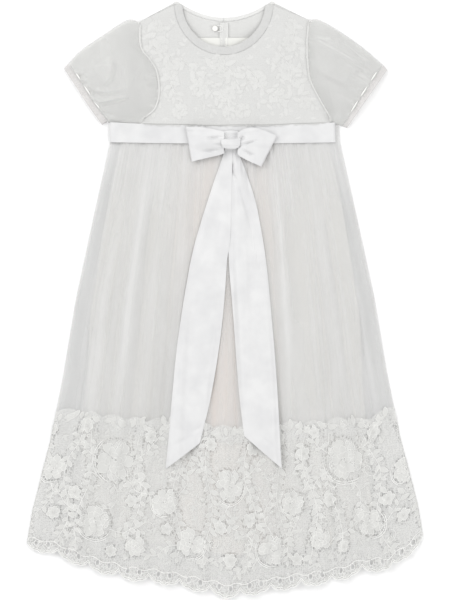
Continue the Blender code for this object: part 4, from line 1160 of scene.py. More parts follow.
ROSES = (  # x, y, radius, turn
    (-150, -50, 24, 0.4), (168, -47, 24, 1.3), (6, -66, 18, 2.2), (-78, -96, 15, 0.9),
    (92, -92, 14, 0.2), (-164, -128, 19, 1.7), (-44, -140, 16, 2.6), (60, -146, 17, 0.7),
    (186, -122, 18, 2.9), (-228, -72, 15, 1.1), (242, -78, 14, 0.3), (122, -138, 12, 1.9),
    (-110, -150, 12, 0.1),
)
BLOSSOMS = (  # x, y, radius
    (-196, -14, 9), (-104, -18, 8), (-60, -34, 8.5), (-20, -20, 8), (40, -24, 9),
    (78, -16, 9.5), (112, -34, 9), (214, -16, 8.5), (130, -10, 7), (-240, -22, 7),
    (250, -26, 7), (-196, -98, 8), (-122, -96, 7.5), (-6, -116, 8), (32, -108, 8.5),
    (140, -92, 8.5), (216, -100, 8), (-216, -128, 8), (228, -128, 7.5), (150, -150, 7),
    (-74, -128, 7), (6, -152, 8), (92, -160, 7.5), (-140, -160, 7),
)
SPRAYS = (  # points of each stem
    ((-176, -50), (-196, -40), (-206, -22), (-200, -4)), ((-126, -48), (-110, -38), (-96, -22), (-84, -8)),
    ((-150, -76), (-140, -92), (-146, -108), (-160, -112)), ((-128, -64), (-108, -78), (-96, -94), (-92, -110)),
    ((-62, -88), (-50, -70), (-52, -52), (-44, -36)), ((-20, -60), (-34, -48), (-38, -30), (-30, -12)),
    ((24, -60), (40, -50), (52, -34), (58, -14)), ((8, -84), (0, -98), (6, -112), (18, -120)),
    ((104, -82), (116, -66), (112, -50), (100, -38)), ((146, -36), (132, -26), (124, -14), (110, -4)),
    ((188, -34), (202, -28), (212, -14), (226, -6)), ((172, -72), (182, -86), (180, -100), (186, -108)),
    ((146, -56), (128, -66), (120, -82), (124, -98)), ((-228, -88), (-222, -104), (-228, -120), (-238, -132)),
    ((-184, -122), (-202, -116), (-214, -104), (-222, -96)), ((-146, -134), (-128, -136), (-116, -128), (-106, -132)),
    ((-60, -146), (-74, -150), (-84, -160), (-96, -160)), ((-30, -150), (-18, -158), (-8, -156), (4, -164)),
    ((44, -152), (34, -162), (22, -162), (14, -170)), ((76, -138), (86, -130), (92, -118), (90, -108)),
    ((134, -142), (144, -134), (154, -134), (166, -128)), ((204, -126), (218, -118), (230, -108), (240, -96)),
    ((62, -128), (52, -112), (54, -96), (66, -84)), ((-96, -88), (-116, -84), (-128, -74), (-140, -76)),
)
VINE_SWAYS = (  # x at the top, sway
    (-246, 5), (-206, 8), (-184, 5), (-116, 7), (-62, 8), (-22, 6), (34, 8), (76, 6), (116, 7), (146, 5), (206, 8),
    (250, 5),
)
VINES = tuple(
    tuple((x + sway * math.sin(1.35 * k + x), -10.0 - 25.0 * k) for k in range(7)) for x, sway in VINE_SWAYS
)
SCROLLS = (  # x, y, radius, turn, hand
    (-120, -66, 13, 2.6, 1), (200, -58, 14, 0.4, -1), (-182, -78, 12, 0.2, 1),
    (38, -82, 11, 1.1, -1), (-30, -88, 11, 2, 1), (132, -116, 11, 0.2, 1),
    (-96, -128, 11, 3.2, -1), (28, -134, 11, 2.8, -1), (92, -118, 10, 0.5, 1),
    (210, -146, 10, 1.6, -1), (-190, -146, 10, 1.2, 1), (-16, -136, 9, 0.6, -1),
    (64, -58, 12, 1.8, 1), (-70, -62, 11, 0.8, -1), (150, -72, 9, 3, 1),
)


def edging(relief, fine):
    """Threads along the hem, a petal in each lobe of the hem and rings round the eyelets."""
    step = 0.003 if fine else 0.006
    a = np.arange(-0.995, 0.9951, step)
    u = np.interp(a, fine_a, run_front)

    def inward(edge, depth):
        return np.column_stack([u, (lace_line(a) - edge(a)) * LENGTH + depth])

    relief.cord(inward(hem_edge, 0.5), 0.55, 5 if fine else 4)
    relief.cord(inward(hem_edge, 3.0), 0.35, 4)
    plain = inward(lambda b: 1 + 0 * b, 7.0)
    wave = 1.6 * np.sin(PI * SCALLOPS * PETALS * (a + 1) / 2)
    relief.cord(plain + np.column_stack([0 * a, wave]), 0.45, 4)
    for i in range(SCALLOPS * PETALS):
        at = -1 + 2 * (i + 0.5) / (SCALLOPS * PETALS)
        x, y = np.interp(at, fine_a, run_front), (lace_line(at) - hem_edge(at)) * LENGTH
        relief.petal(x, float(y) + 6.5, -PI / 2, 5.2, 5.0, 0.1, 0.2, 0.5, 0, 0.3 if fine else 0.0)
    if fine:
        for at, down, lean in eyelets():
            turn = np.linspace(0, 2 * PI, 20, endpoint=False)
            p, q = (EYELET[0] / 2 + 0.35) * np.cos(turn), (EYELET[1] / 2 + 0.35) * np.sin(turn)
            x = np.interp(at, fine_a, run_front) + p * math.cos(lean) - q * math.sin(lean)
            y = (lace_line(at) - down) * LENGTH + p * math.sin(lean) + q * math.cos(lean)
            relief.cord(np.column_stack([x, y]), 0.4, 4, closed=True)


def garland(relief, rise, every, leaf, edge):
    """Leaves along the top edge, at uneven heights."""
    at = -HALF_RUN + 6
    while at < HALF_RUN - 6:
        y = rise + 3.5 * math.sin(at * 0.14) + relief.draw.uniform(-2.0, 2.0)
        lean = relief.draw.choice((0.5, PI - 0.5, PI / 2)) + relief.draw.uniform(-0.4, 0.4)
        long = leaf * relief.draw.uniform(0.8, 1.25)
        relief.petal(at, y, lean, long, long * 0.55, 0.05, 0.14, 0.7, relief.draw.uniform(-1, 1), edge)
        at += every * relief.draw.uniform(0.7, 1.3)


BORDER_SPRIGS, BODICE_SPRIGS = 1300, 900  # places tried


def sprigs(relief, low, high, count, gap, taken, size, inside):
    """Small lobes strewn over the ground between the flowers, leaning up or down the cloth."""
    spots = [(x, y, r) for x, y, r in taken]
    for _ in range(count):
        x, y = relief.draw.uniform(low[0], high[0]), relief.draw.uniform(low[1], high[1])
        if not inside(x, y) or any((x - p) ** 2 + (y - q) ** 2 < (r + gap) ** 2 for p, q, r in spots):
            continue
        spots.append((x, y, 0.0))
        lean = relief.draw.choice((-1, 1)) * PI / 2 + relief.draw.uniform(-0.7, 0.7)
        for turn in (-0.75, 0.0, 0.75)[: relief.draw.integers(1, 4)]:
            long = size * relief.draw.uniform(0.7, 1.2)
            relief.petal(x, y, lean + turn, long, long * 0.42, 0.04, 0.1, 0.75, long * 0.16 * turn, 0.0, 4, 3)


def border_flowers(name, surface, seed, fine):
    """All the raised stitching of a border. fine is for the front, which has more of it."""
    relief = Relief(seed)
    edge = 0.36 if fine else 0.0
    taken = [r[:3] for r in ROSES] + list(BLOSSOMS)

    def free(x, y):
        return all((x - p) ** 2 + (y - q) ** 2 > (r + 2) ** 2 for p, q, r in taken)

    for x, y, size, turn in ROSES:
        relief.rose(x, y, size, turn, edge)
    for k, (x, y, size) in enumerate(BLOSSOMS):
        relief.blossom(x, y, size, k * 0.7, 5 + k % 2, edge)
    for line in SPRAYS:
        relief.spray(line, 9.5, 6.0, 0.4, 0.5, edge * 0.8, free=free)
    for line in VINES:
        relief.spray(line, 10.0, 6.0 if fine else 9.0, 0.4, 0.52, edge * 0.8, free=free)
    for x, y, size, turn, hand in SCROLLS:
        relief.scroll(x, y, size, turn, hand, stem=0.4)
    edging(relief, fine)
    garland(relief, -7.0, 6.0, 10.0, edge * 0.8)
    if fine:
        sprigs(relief, (-HALF_RUN + 6, -172), (HALF_RUN - 6, -8), BORDER_SPRIGS, 10.5, taken, 7.5,
               lambda x, y: y > (lace_line(np.interp(x, run_front, fine_a)) - 1) * LENGTH + 4)
    piece = relief.lay(name, surface, THREAD)
    return dress(piece, "lace")


# The lace of the bodice


def bodice_surface(u, v):
    """The top of the bodice's front."""
    return u, v, chest_low(u, v) + LACE


BODICE_SPRAYS = (
    ((-60, 330), (-72, 316), (-76, 300), (-68, 286)), ((-84, 322), (-92, 308), (-90, 296), (-82, 284)),
    ((-40, 286), (-28, 276), (-18, 262), (-16, 246)), ((-56, 272), (-64, 258), (-62, 244), (-50, 234)),
    ((10, 284), (22, 274), (26, 260), (20, 246)), ((44, 292), (58, 284), (66, 270), (64, 254)),
    ((70, 330), (82, 318), (86, 302), (80, 288)), ((-30, 238), (-18, 230), (-2, 228), (12, 222)),
    ((34, 240), (48, 234), (62, 236), (76, 228)), ((80, 268), (92, 258), (98, 244), (108, 232)),
    ((-76, 262), (-74, 248), (-80, 234), (-90, 224)), ((0, 262), (-6, 252), (0, 240), (8, 236)),
    ((-44, 306), (-56, 300), (-60, 290), (-54, 280)), ((62, 308), (72, 300), (70, 290), (60, 284)),
    ((88, 288), (94, 276), (90, 266), (80, 258)), ((-20, 284), (-8, 280), (4, 272), (8, 262)),
)
BODICE_STEMS = (
    ((-58, 292), (-44, 280), (-24, 258), (-12, 243), (5, 230)), ((60, 302), (70, 290), (80, 276), (78, 258)),
    ((-72, 300), (-62, 282), (-66, 262), (-56, 244)), ((20, 282), (34, 270), (48, 250), (70, 240), (92, 246)),
    ((-30, 290), (-12, 288), (6, 276), (14, 258)), ((-88, 340), (-82, 322), (-88, 308), (-80, 296)),
    ((74, 342), (84, 328), (82, 312), (90, 298)),
)
BODICE_ROSES = (
    (-66, 274, 10, 0.3), (-32, 254, 11, 1.2), (4, 246, 10, 2.1), (40, 262, 11, 0.8), (74, 274, 10, 1.7),
    (-76, 306, 9, 0.9), (78, 308, 9, 2.4), (-54, 226, 9, 0.2), (22, 226, 9, 1.4), (66, 244, 9, 2.8),
    (-8, 286, 8, 0.6), (96, 236, 8, 1), (-4, 272, 7, 0.3), (-80, 328, 7, 1.1), (80, 330, 7, 0.4),
)


def bodice_flowers():
    """The flowers of the bodice with stitches along its armholes, and the piping of the armholes."""
    relief, seams = Relief(23), Relief(24)
    for x, y, size, turn in BODICE_ROSES:
        relief.rose(x, y, size, turn, 0.24)
    for line in BODICE_SPRAYS:
        relief.spray(line, 9.0, 6.5, 0.3, 0.5, 0.2)
    for line in BODICE_STEMS:
        relief.spray(line, 13.0, 7.5, 0.6, 0.46, 0.3)
    rim = np.vstack([neck_arc(30, -4), curve(RIGHT_ARMHOLE, np.linspace(0, 1, 20)) - (4, 0),
                     curve(LEFT_ARMHOLE, np.linspace(1, 0, 20)) + (4, 0)])
    sprigs(relief, (-100, 214), (125, 352), BODICE_SPRIGS, 10.0, [r[:3] for r in BODICE_ROSES], 6.0,
           lambda x, y: bool(inside_loop(np.array([[x, y]]), rim)[0]) and y > sash_top_at(x) + 3)
    for armhole, side in ((LEFT_ARMHOLE, 1), (RIGHT_ARMHOLE, -1)):
        for at in np.arange(0.02, 0.56, 0.024):
            line = curve(armhole, np.linspace(at, at + relief.draw.uniform(0.01, 0.02), 3))
            relief.cord(line + (side * relief.draw.uniform(1.2, 2.0), 0), 0.7, 4, 1.3)
        seams.cord(curve(armhole, np.linspace(0.015, 0.97, 70)) + (side * 0.9, 0), 1.2, 6, 0.4)
    piece = dress(relief.lay("bodice_front_flowers", bodice_surface, (BODICE_FILL, BODICE_CORD_HIGHLIGHT)), "lace")
    return piece, dress(seams.lay("bodice_armhole_seams", bodice_surface, (BODICE_FILL, BODICE_FILL)), "lace")


def waist_shadow_cord():
    """A dark grey cord above the sash: painted shadow under the bodice's lower edge."""
    relief = Relief(25)
    x = np.linspace(*WAIST_SHADOW_ENDS, 90)
    y = sash_top_at(x) + 0.5 + 0.25 * np.sin(x * 0.09)
    relief.cord(np.column_stack([x, y]), 0.5)
    return dress(relief.lay("waist_shadow_cord", bodice_surface, (WAIST_SHADOW_GREY, WAIST_SHADOW_GREY)), "lace")


# The sleeves


# Creases of the sleeves: round at the cuff and at the inner end, start along the sleeve, half width, depth
SLEEVE_CREASES = {
    -1: ((0.50, 0.40, 0.62, 0.035, 1.6), (0.64, 0.60, 0.55, 0.03, 1.5), (0.87, 0.86, 0.5, 0.03, 1.6),
         (0.22, 0.30, 0.7, 0.04, 1), (0.36, 0.36, 0.7, 0.03, 1.2)),
    1: ((0.16, 0.20, 0.6, 0.035, 1.5), (0.32, 0.28, 0.5, 0.04, 2.2), (0.48, 0.46, 0.6, 0.03, 1.5),
        (0.64, 0.60, 0.45, 0.04, 2.2), (0.82, 0.78, 0.6, 0.03, 1.6)),
}
# Folds of the sleeves on the floor plan, steep below and right of their lines: line, height, steep and soft sides
SLEEVE_FOLDS = {
    -1: (
        (((-153, 253), (-143, 260), (-137, 270), (-136, 281), (-139, 292)), 4.2, 3.6, 12),
        (((-170, 242.5), (-158, 239.5), (-145.8, 236.5), (-128, 240), (-106, 245)), 4.4, 2.8, 8),
        (((-178, 265), (-165, 256), (-151.3, 249.5), (-136.4, 248.8), (-108, 254.5)), 3.4, 3, 9),
        (((-190, 276), (-180, 272), (-170, 270)), 3.2, 2.2, 6),
    ),
    1: (
        (((108, 280), (117.6, 271.5), (130, 266), (142, 260.5), (154, 251)), 3.6, 4.4, 16),
        (((128, 300), (142, 290), (156, 279), (166, 268)), 2, 4, 12),
    ),
}
# Dents of the sleeves, as dents() takes them
SLEEVE_DENTS = {
    -1: ((-172.8, 267.6, 6.0, 1.8, -15, 2.4), (-171.6, 259.2, 6.0, 1.8, -20, 2.2), (-163.0, 246.0, 7.0, 2.0, -30, 1.2)),
    1: ((167.6, 283.0, 9.0, 1.6, 80, 2.2), (161.0, 271.0, 5.0, 3.0, 20, 2.4), (148.0, 226.0, 9.0, 2.4, 60, 1.2)),
}


def fold_height(points, line, height, steep, soft):
    """Height of a fold that falls off fast on the right of its line and slowly on the left."""
    path = curve(line, np.linspace(0, 1, 60))
    run = np.gradient(path, axis=0)
    run /= np.linalg.norm(run, axis=1)[:, None]
    away = points[:, None] - path[None]
    near = np.argmin((away**2).sum(axis=2), axis=1)
    away = away[np.arange(len(points)), near]
    side = run[near, 0] * away[:, 1] - run[near, 1] * away[:, 0]
    beyond = np.abs((run[near] * away).sum(axis=1))
    ends = between(near / 59, (0.0, 0.3), (0.7, 1.0)) * bell(beyond, 5)
    return height * ends * np.where(side < 0, bell(side, steep), np.exp(-np.abs(side) / soft))


def sleeve_plan(curves, seam, share, around):
    """Floor plan points of a sleeve between its four edges."""
    share, around = np.asarray(share, float)[..., None], np.asarray(around, float)[..., None]
    s, r = share[..., 0], around[..., 0]
    start, end = curve(seam, r), curve(curves["cuff"], r)
    top, bottom = curve(curves["shoulder"], s), curve(curves["underarm"], s)
    one = np.zeros(())
    corner = [curve(curves[k], one + e) for k in ("shoulder", "underarm") for e in (0, 1)]
    corners = (
        corner[0] * (1 - share) * (1 - around) + corner[2] * (1 - share) * around
        + corner[1] * share * (1 - around) + corner[3] * share * around
    )
    return start * (1 - share) + end * share + top * (1 - around) + bottom * around - corners


def sleeve_curves(curves, armhole, side):
    """A sleeve's edges, with its seam over the bodice's edge and its corner under the sash."""
    line = curve(armhole, np.linspace(0, 1, 19))
    run = np.zeros_like(line)
    run[1:-1], run[0], run[-1] = line[2:] - line[:-2], line[1] - line[0], line[-1] - line[-2]
    run /= np.linalg.norm(run, axis=1)[:, None]
    seam = line + np.column_stack([run[:, 1], -run[:, 0]]) * side * 0.8
    moved = dict(curves)
    moved["shoulder"] = (tuple(seam[0]), *curves["shoulder"][1:])
    seam[-2] += (-1.2 * side, 0.0)
    seam[-1] += (-4.0 * side, -5.0)
    moved["underarm"] = (tuple(seam[-1]), *curves["underarm"][1:])
    return moved, seam


def tube_places(shares, upper, lower):
    """Places along and round a tube that lies flat, over its upper side and back below, and which are upper."""
    around = np.concatenate([np.linspace(0, 1, upper, endpoint=False), np.linspace(1, 0, lower, endpoint=False)])
    share, around = np.meshgrid(shares, around, indexing="ij")
    return share, around, (np.arange(upper + lower) < upper)[None, :]


def sleeve(name, node, curves, armhole, side):
    """A puff between its armhole and its cuff, as a tube that lies flat."""
    curves, seam = sleeve_curves(curves, armhole, side)
    share, around, is_top = tube_places(np.linspace(0, 1, 60), 110, 44)
    spot = sleeve_plan(curves, seam, share, around)
    arch = np.sin(PI * np.clip(around, 0, 1)) ** 0.6
    local = np.random.default_rng(7 if side < 0 else 11)
    pull = smooth(share, 0.45, 0.95)
    waves = np.zeros_like(share)
    for at, inner, start, width, depth in SLEEVE_CREASES[side]:
        centre = inner + (at - inner) * share
        waves -= depth * bell(around - centre, width) * smooth(share, start, start + 0.3)
    for _ in range(CUFF_PLEATS):
        at, lean = local.uniform(0.05, 0.95), local.normal(0, 0.06)
        width, height = local.uniform(0.016, 0.035), local.uniform(0.2, 0.5)
        end = local.uniform(0.45, 0.75)
        waves -= height * bell(around - at - lean * (1 - share), width) * smooth(share, end, 1.0)
    for _ in range(INNER_PLEATS):
        at, lean = local.uniform(0.05, 0.95), local.normal(0, 0.08)
        width, height = local.uniform(0.015, 0.035), local.uniform(0.2, 0.6)
        end = local.uniform(0.2, 0.5)
        waves -= height * bell(around - at - lean * share, width) * (1 - smooth(share, 0.05, end))
    slow = 0.5 - 0.5 * np.cos(2 * PI * 6 * around)
    swell = interp(SLEEVE_PUFF, share) - 2.2 * slow * pull * 0.6
    flat = spot.reshape(-1, 2)
    folds = np.zeros_like(share)
    for fold in SLEEVE_FOLDS[side]:
        folds += fold_height(flat, *fold).reshape(share.shape)
    folds -= dents(spot[..., 0], spot[..., 1], SLEEVE_DENTS[side])
    under = smooth(around, 0.84, 1.0) * (1 - smooth(share, *((0.8, 1.0) if side < 0 else (0.1, 0.6))))
    top = SLEEVE_EDGE + (swell + waves + folds) * arch + 2.2 * under
    above = spot[..., 1] - sash_top_at(spot[..., 0]) - 0.3
    ceiling = 6.5 + np.where(above > 0, 1.3 * above, 0.5 * above)
    top = np.where((spot[..., 0] > SASH_LEFT_X) & (spot[..., 0] < SASH_RIGHT_X), np.minimum(top, ceiling), top)
    bottom = 0.2 + 2.8 * (1 - smooth(share, 0.0, 0.05))
    z = np.where(is_top, np.maximum(top, 1.2), bottom)
    grid = np.concatenate([spot, z[..., None]], axis=-1)
    if side > 0:
        grid = grid[:, ::-1]
        waves = waves[:, ::-1]
    dense = np.clip(np.abs(np.gradient(waves + folds, axis=1)) * 0.4, 0, 0.35) + 0.1 * smooth(share, 0.85, 1.0)
    piece = shell(name, grid, SHEER, PUFF, ring=True, attributes={"dense": dense}, side=1.0)
    return dress(piece, "tulle", node)


CUFF_RIBBON = ((0.14, 0.28), (0.38, 0.54), (0.61, 0.78))  # where the threaded ribbon shows along the cuff


def cuff(name, node, curves, side):
    """The band round a sleeve's end, and the ribbon threaded along it."""
    share, around, is_top = tube_places(np.linspace(0.045, 1, 9), 120, 40)
    spot = curve(curves["cuff"], around) * (1 - share[..., None]) + curve(curves["band"], around) * share[..., None]
    pleat = 0.35 * np.sin(around * 150 + 3 * np.sin(around * 17)) * np.sin(PI * share)
    top = SLEEVE_EDGE + (CUFF_RISE + pleat) * np.sin(PI * np.clip(around, 0, 1)) ** 0.6
    grid = np.concatenate([spot, np.where(is_top, top, 0.2)[..., None]], axis=-1)
    if side > 0:
        grid = grid[:, ::-1]
    piece = shell(name, grid, SHEER, CUFF, ring=True, attributes={"dense": np.full(share.shape, 0.2)}, side=1.0)
    dress(piece, "tulle", node)
    relief = Relief(5)
    for ends in CUFF_RIBBON:
        turn = np.linspace(*ends, 7)
        relief.cord(curve(curves["cuff"], turn) * 1.2 - curve(curves["band"], turn) * 0.2, 1.0, 6)

    def over(x, y):
        near = [np.argmin(np.hypot(*(curve(curves["cuff"], np.linspace(0, 1, 200)) - p).T)) / 199 for p in zip(x, y)]
        return x, y, SLEEVE_EDGE + 7.4 * np.sin(PI * np.array(near)) ** 0.6 + 0.4

    stitches = relief.lay(name.replace("band", "threading"), over, THREAD)
    dress(stitches, "lace")
    return piece, stitches


# The sash and the bow


def front_sash():
    """The sash over the bodice and the skirt, rolled down at both ends."""
    half = WAIST_HALF + 2.0
    path = [(-half, 1.4), (-half, 3.8), (-half + 1.4, SASH_Z - 1.2), (-half + 5, SASH_Z)]
    path += [(x, SASH_Z) for x in np.linspace(-126, 122, 80)]
    path += [(SASH_RIGHT_X - 0.6, SASH_Z - 0.8), (SASH_RIGHT_X + 0.8, 4.2), (SASH_RIGHT_X + 1.2, 1.6)]
    path = resample(path, 1.6)
    share = np.linspace(0, 1, 15)
    x, s = np.meshgrid(path[:, 0], share, indexing="ij")
    a = x / WAIST_HALF
    y = sash_bottom(a) + (sash_top(a) - sash_bottom(a)) * s
    soft = 0.3 * np.sin(x * 0.045 + 3 * s) + 0.22 * np.sin(x * 0.11 + 5 * s + 1)
    z = path[:, 1][:, None] + 0.2 + soft * smooth(x, -130, -110) + 0.4 * np.sin(PI * s)
    piece = shell("sash_front_satin", np.stack([x, y, z], axis=-1), SATIN, SATIN_CLOTH, side=-1)
    return dress(piece, "satin", "sash_front")


def back_sash():
    """The sash's back, narrower where the right sleeve lies."""
    xs = np.array([*np.linspace(-WAIST_HALF - 2.0, SASH_RIGHT_X, 80), SASH_RIGHT_X + 0.5, WAIST_HALF])
    top = sash_top_at(xs) - 4.0 * (xs > SASH_RIGHT_X)
    s = np.linspace(0, 1, 9)
    y = sash_bottom(xs / WAIST_HALF)[:, None] * (1 - s) + top[:, None] * s
    x = np.repeat(xs[:, None], 9, axis=1)
    z = 0.15 + 0.12 * np.sin(x * 0.06 + 2 * s)
    piece = shell("sash_back_satin", np.stack([x, y, z + 0.1], axis=-1), SATIN, SATIN_CLOTH, side=-1)
    return dress(piece, "satin", "sash_back")


# A crease along the right tail, and dents of both tails
TAIL_FOLD = ((8.4, 162.0), (8.9, 153.0), (15.6, 138.6), (24.0, 112.2), (28.2, 98.0), (35.0, 66.0), (41.5, 36.0))
TAIL_DENTS = (
    (-27, 50, 9, 3, 78, 0.6), (-8, 76, 12, 2.5, 84, 0.7), (-36, -8, 10, 4, 70, 0.5),
    (-44, -60, 11, 3.5, 60, 0.5), (-34, -156, 9, 2.6, 30, 1.3), (-52, -170, 10, 2.6, 25, 1),
    (-38, -112, 8, 3, 80, 0.5), (46, 18, 14, 3, 98, 0.7), (20, 4, 9, 3, 95, 0.5),
    (38, -60, 10, 4, 110, 0.6), (56, -120, 12, 3, 100, 0.7), (34, -128, 9, 3, 100, 0.6),
    (52, -172, 10, 2.6, 140, 1), (14, 84, 12, 2, 95, 0.6), (30, 44, 10, 3, 100, 0.5),
)


def tail(name, node, rows, side):
    """A ribbon that hangs from the knot over the folds of the skirt."""
    share = np.linspace(0, 1, 190)[:, None]
    left = curve([(l, y) for y, l, _ in rows], share[:, 0])
    right = curve([(r, y) for y, _, r in rows], share[:, 0])
    over = smooth(left[:, 1], 42, 80)
    if side < 0:
        right[:, 0] += 2.8 * over
    place = np.linspace(0, 1, 27)
    spot = left[:, None] + (right - left)[:, None] * place[None, :, None]
    outward = 1 - place if side < 0 else place
    spot[..., 1] -= TAIL_SLANT[side] * outward * smooth(share, 0.7, 1.0)
    x, y = spot[..., 0], spot[..., 1]
    lift = 0.5 + 0.5 * np.sin(9 * share + 2.2 * place + side) + 0.25 * np.sin(21 * share - 1.5 * place + 2 * side)
    z = rest_level(x, y) + 0.5 + 0.9 * lift * smooth(share, 0.12, 0.3)
    wide = np.linalg.norm(right - left, axis=1)[:, None]
    rim = np.minimum(place, 1 - place) * wide
    held = (1 - smooth(rim, 0.5, 9.0)) * smooth(share, 0.05, 0.15)
    held = np.where((place > 0.5) == (side < 0), held * (1 - over[:, None]), held)
    z = z + 3.5 * (1 - smooth(share, 0.0, 0.07))
    if side < 0:
        z = z + 0.65 * over[:, None] * smooth(place, 0.5, 0.9)
    else:
        off = line_distance(spot.reshape(-1, 2), curve(TAIL_FOLD, np.linspace(0, 1, 40))).reshape(x.shape)
        z = z - 1.3 * bell(off, 1.6) * smooth(share, 0.08, 0.17)
    z = z - dents(x, y, TAIL_DENTS)
    z = z + (np.maximum(rest_level(x, y, GROUND) + 0.4, z - 3.0) - z) * held
    z = np.maximum(z, rest_level(x, y, GROUND) + 0.3)
    piece = shell(name, np.concatenate([spot, z[..., None]], axis=-1), SATIN, SATIN_CLOTH, side=-1)
    return dress(piece, "satin", node)


LOOP_DENTS = (  # of both loops
    (-13, 193.8, 8, 1.7, 4, 3.6), (-18, 177.8, 7.5, 1.7, 6, 3.2), (-8, 185.5, 5, 1.2, 0, 1.4),
    (20.5, 193.4, 3, 2.4, 30, 4), (29, 187.6, 8, 1.4, 15, 3.4), (29.5, 174.6, 5.5, 1.6, -20, 3.2),
    (25, 180.8, 3.4, 3, 0, -1.6), (30, 199, 9, 1.4, 8, 1.2), (-26, 200, 9, 2, -4, 0.8),
)


def bow_loop(name, node, edges, side):
    """A ribbon folded back on itself, from the knot to its outer end and back."""
    path = np.array([(0.0, 0.0), (0.25, 0), (0.5, 0), (0.75, 0), (0.93, 0.0), (0.985, 0.15), (1.0, 0.5), (0.985, 0.85),
                     (0.93, 1.0), (0.75, 1), (0.5, 1), (0.25, 1), (0.0, 1.0)])
    way = curve(path, np.linspace(0, 1, 140))
    share, layer = np.clip(way[:, 0], 0, 1)[:, None], way[:, 1][:, None]
    place = np.linspace(0, 1, 40)[None, :]
    low, high = curve(edges["low"], share[:, 0])[:, None], curve(edges["high"], share[:, 0])[:, None]
    spot = low + (high - low) * place[..., None]
    puff = 2.4 * np.sin(PI * share) ** 2 * np.sin(PI * place)
    x, y = spot[..., 0], spot[..., 1]
    base = np.maximum(rest_level(x, y) + 0.5, 8.6 - 2.4 * smooth(sash_bottom(x / WAIST_HALF) - y, -1, 12))
    z = base + layer * (5.2 + puff - dents(spot[..., 0], spot[..., 1], LOOP_DENTS))
    grid = np.concatenate([spot, z[..., None]], axis=-1)
    if side > 0:
        grid = grid[:, ::-1]
    piece = shell(name, grid, SATIN, SATIN_CLOTH, side=-1)
    return dress(piece, "satin", node)


def bow_knot():
    """The band round the middle of the bow, with a lower part above it that shows behind."""
    half_x, half_y = KNOT_SIZE[0] / 2, KNOT_SIZE[1] / 2
    turn = np.linspace(0, 2 * PI, 90, endpoint=False)
    cos, sin = np.cos(turn), np.sin(turn)
    outline = np.column_stack([
        KNOT[0] + half_x * np.sign(cos) * np.abs(cos) ** 0.7,
        KNOT[1] + half_y * np.sign(sin) * np.abs(sin) ** 0.5,
    ])

    def low(x, y):
        a, b = (x - KNOT[0]) / half_x, (y - KNOT[1]) / half_y
        c = (b + 0.44) / 0.58
        band = 14.6 + 3.2 * np.maximum(0.0, 1 - 0.55 * a * a - 0.75 * c * c)
        band = band - 0.5 * bell(c - 0.25 + 0.15 * a, 0.16) - 0.4 * bell(c + 0.45, 0.16)
        back = 9.6 + 1.2 * bell(b - 0.75, 0.2) + 0.4 * np.sin(7 * a + 1)
        return back + (band - back) * (1 - smooth(b - 0.06 * a, 0.06, 0.2))

    piece = panel("bow_band", outline, low, SATIN, SATIN_CLOTH, step=0.9, edge=0.9)
    return dress(piece, "satin", "bow_knot")


def button():
    """A small pearl button with a raised rim."""
    turn = np.linspace(0, 2 * PI, 40, endpoint=False)
    radius = np.array([0.05, 0.5, 1.2, 2.0, 2.6, 3.0, 3.3, 3.4, 3.3, 2.6, 0.05])
    z = np.array([1.75, 1.76, 1.7, 1.6, 1.7, 1.6, 1.25, 0.8, 0.2, 0.0, 0.0]) + 2.0
    x = BUTTON_AT[0] + radius[:, None] * np.cos(turn)
    y = BUTTON_AT[1] + radius[:, None] * np.sin(turn)
    grid = np.stack([x, y, np.repeat(z[:, None], 40, axis=1)], axis=-1)
    rows, columns = grid.shape[:2]
    faces = [tuple(f) for f in grid_faces(rows, columns, ring=True)]
    faces += [tuple(range(columns))[::-1], tuple(range((rows - 1) * columns, rows * columns))]
    piece = make("pearl_button", grid.reshape(-1, 3), faces, PEARL)
    return dress(piece, "pearl", "back_button")


tulle_front = front_tulle()
tulle_back = back_tulle()
lining_back, lining_front = linings()
net_front, net_back = lace_borders()
flowers_front = border_flowers("lace_border_front_flowers", border_front, 5, True)
flowers_back = border_flowers("lace_border_back_flowers", border_back, 5, False)
bodice = front_bodice()
flowers_bodice, seams_bodice = bodice_flowers()
waist_shadow_piece = waist_shadow_cord()
binding = neck_binding()
back_left, edge_left, back_right, edge_right = back_halves()
yoke_lining = bodice_lining()
strip, loop = placket()
puff_left = sleeve("sleeve_left_puff", "sleeve_left", LEFT_SLEEVE, LEFT_ARMHOLE, -1)
puff_right = sleeve("sleeve_right_puff", "sleeve_right", RIGHT_SLEEVE, RIGHT_ARMHOLE, 1)
cuff_left, threads_left = cuff("cuff_left_band", "cuff_left", LEFT_SLEEVE, -1)
cuff_right, threads_right = cuff("cuff_right_band", "cuff_right", RIGHT_SLEEVE, 1)
sash = front_sash()
sash_behind = back_sash()
tail_left = tail("tail_left_ribbon", "tail_left", LEFT_TAIL, -1)
tail_right = tail("tail_right_ribbon", "tail_right", RIGHT_TAIL, 1)
loop_left = bow_loop("bow_left_loop", "bow_loop_left", LEFT_LOOP, -1)
loop_right = bow_loop("bow_right_loop", "bow_loop_right", RIGHT_LOOP, 1)
knot = bow_knot()
button()


# Floor, light and camera


FLOOR_HALF = 4.0
KEY_LIGHT = (-2.0, 1.4, 2.6), 3.0, 56
FILL_LIGHT = (2.2, -0.4, 2.6), 3.2, 38
STUDIO_STRENGTH = 0.75
EYE_AT, LENS, SENSOR = (0, -0.0006, 6.0), 300, 36


def floor():
    """A plain white floor just under the dress."""
    mesh = bpy.data.meshes.new("floor")
    size = FLOOR_HALF
    mesh.from_pydata([(-size, -size, 0), (size, -size, 0), (size, size, 0), (-size, size, 0)], [], [(0, 1, 2, 3)])
    placed = bpy.data.objects.new("floor", mesh)
    placed.location.z = -0.0002
    paint = Paint("floor", Roughness=0.9)
    cloud = paint.noise(0.002, 0.002, 2.0)
    paint.set("Base Color", paint.mix(cloud, (0.945, 0.945, 0.945), (0.955, 0.955, 0.955)))
    mesh.materials.append(paint.made)
    bpy.context.scene.collection.objects.link(placed)


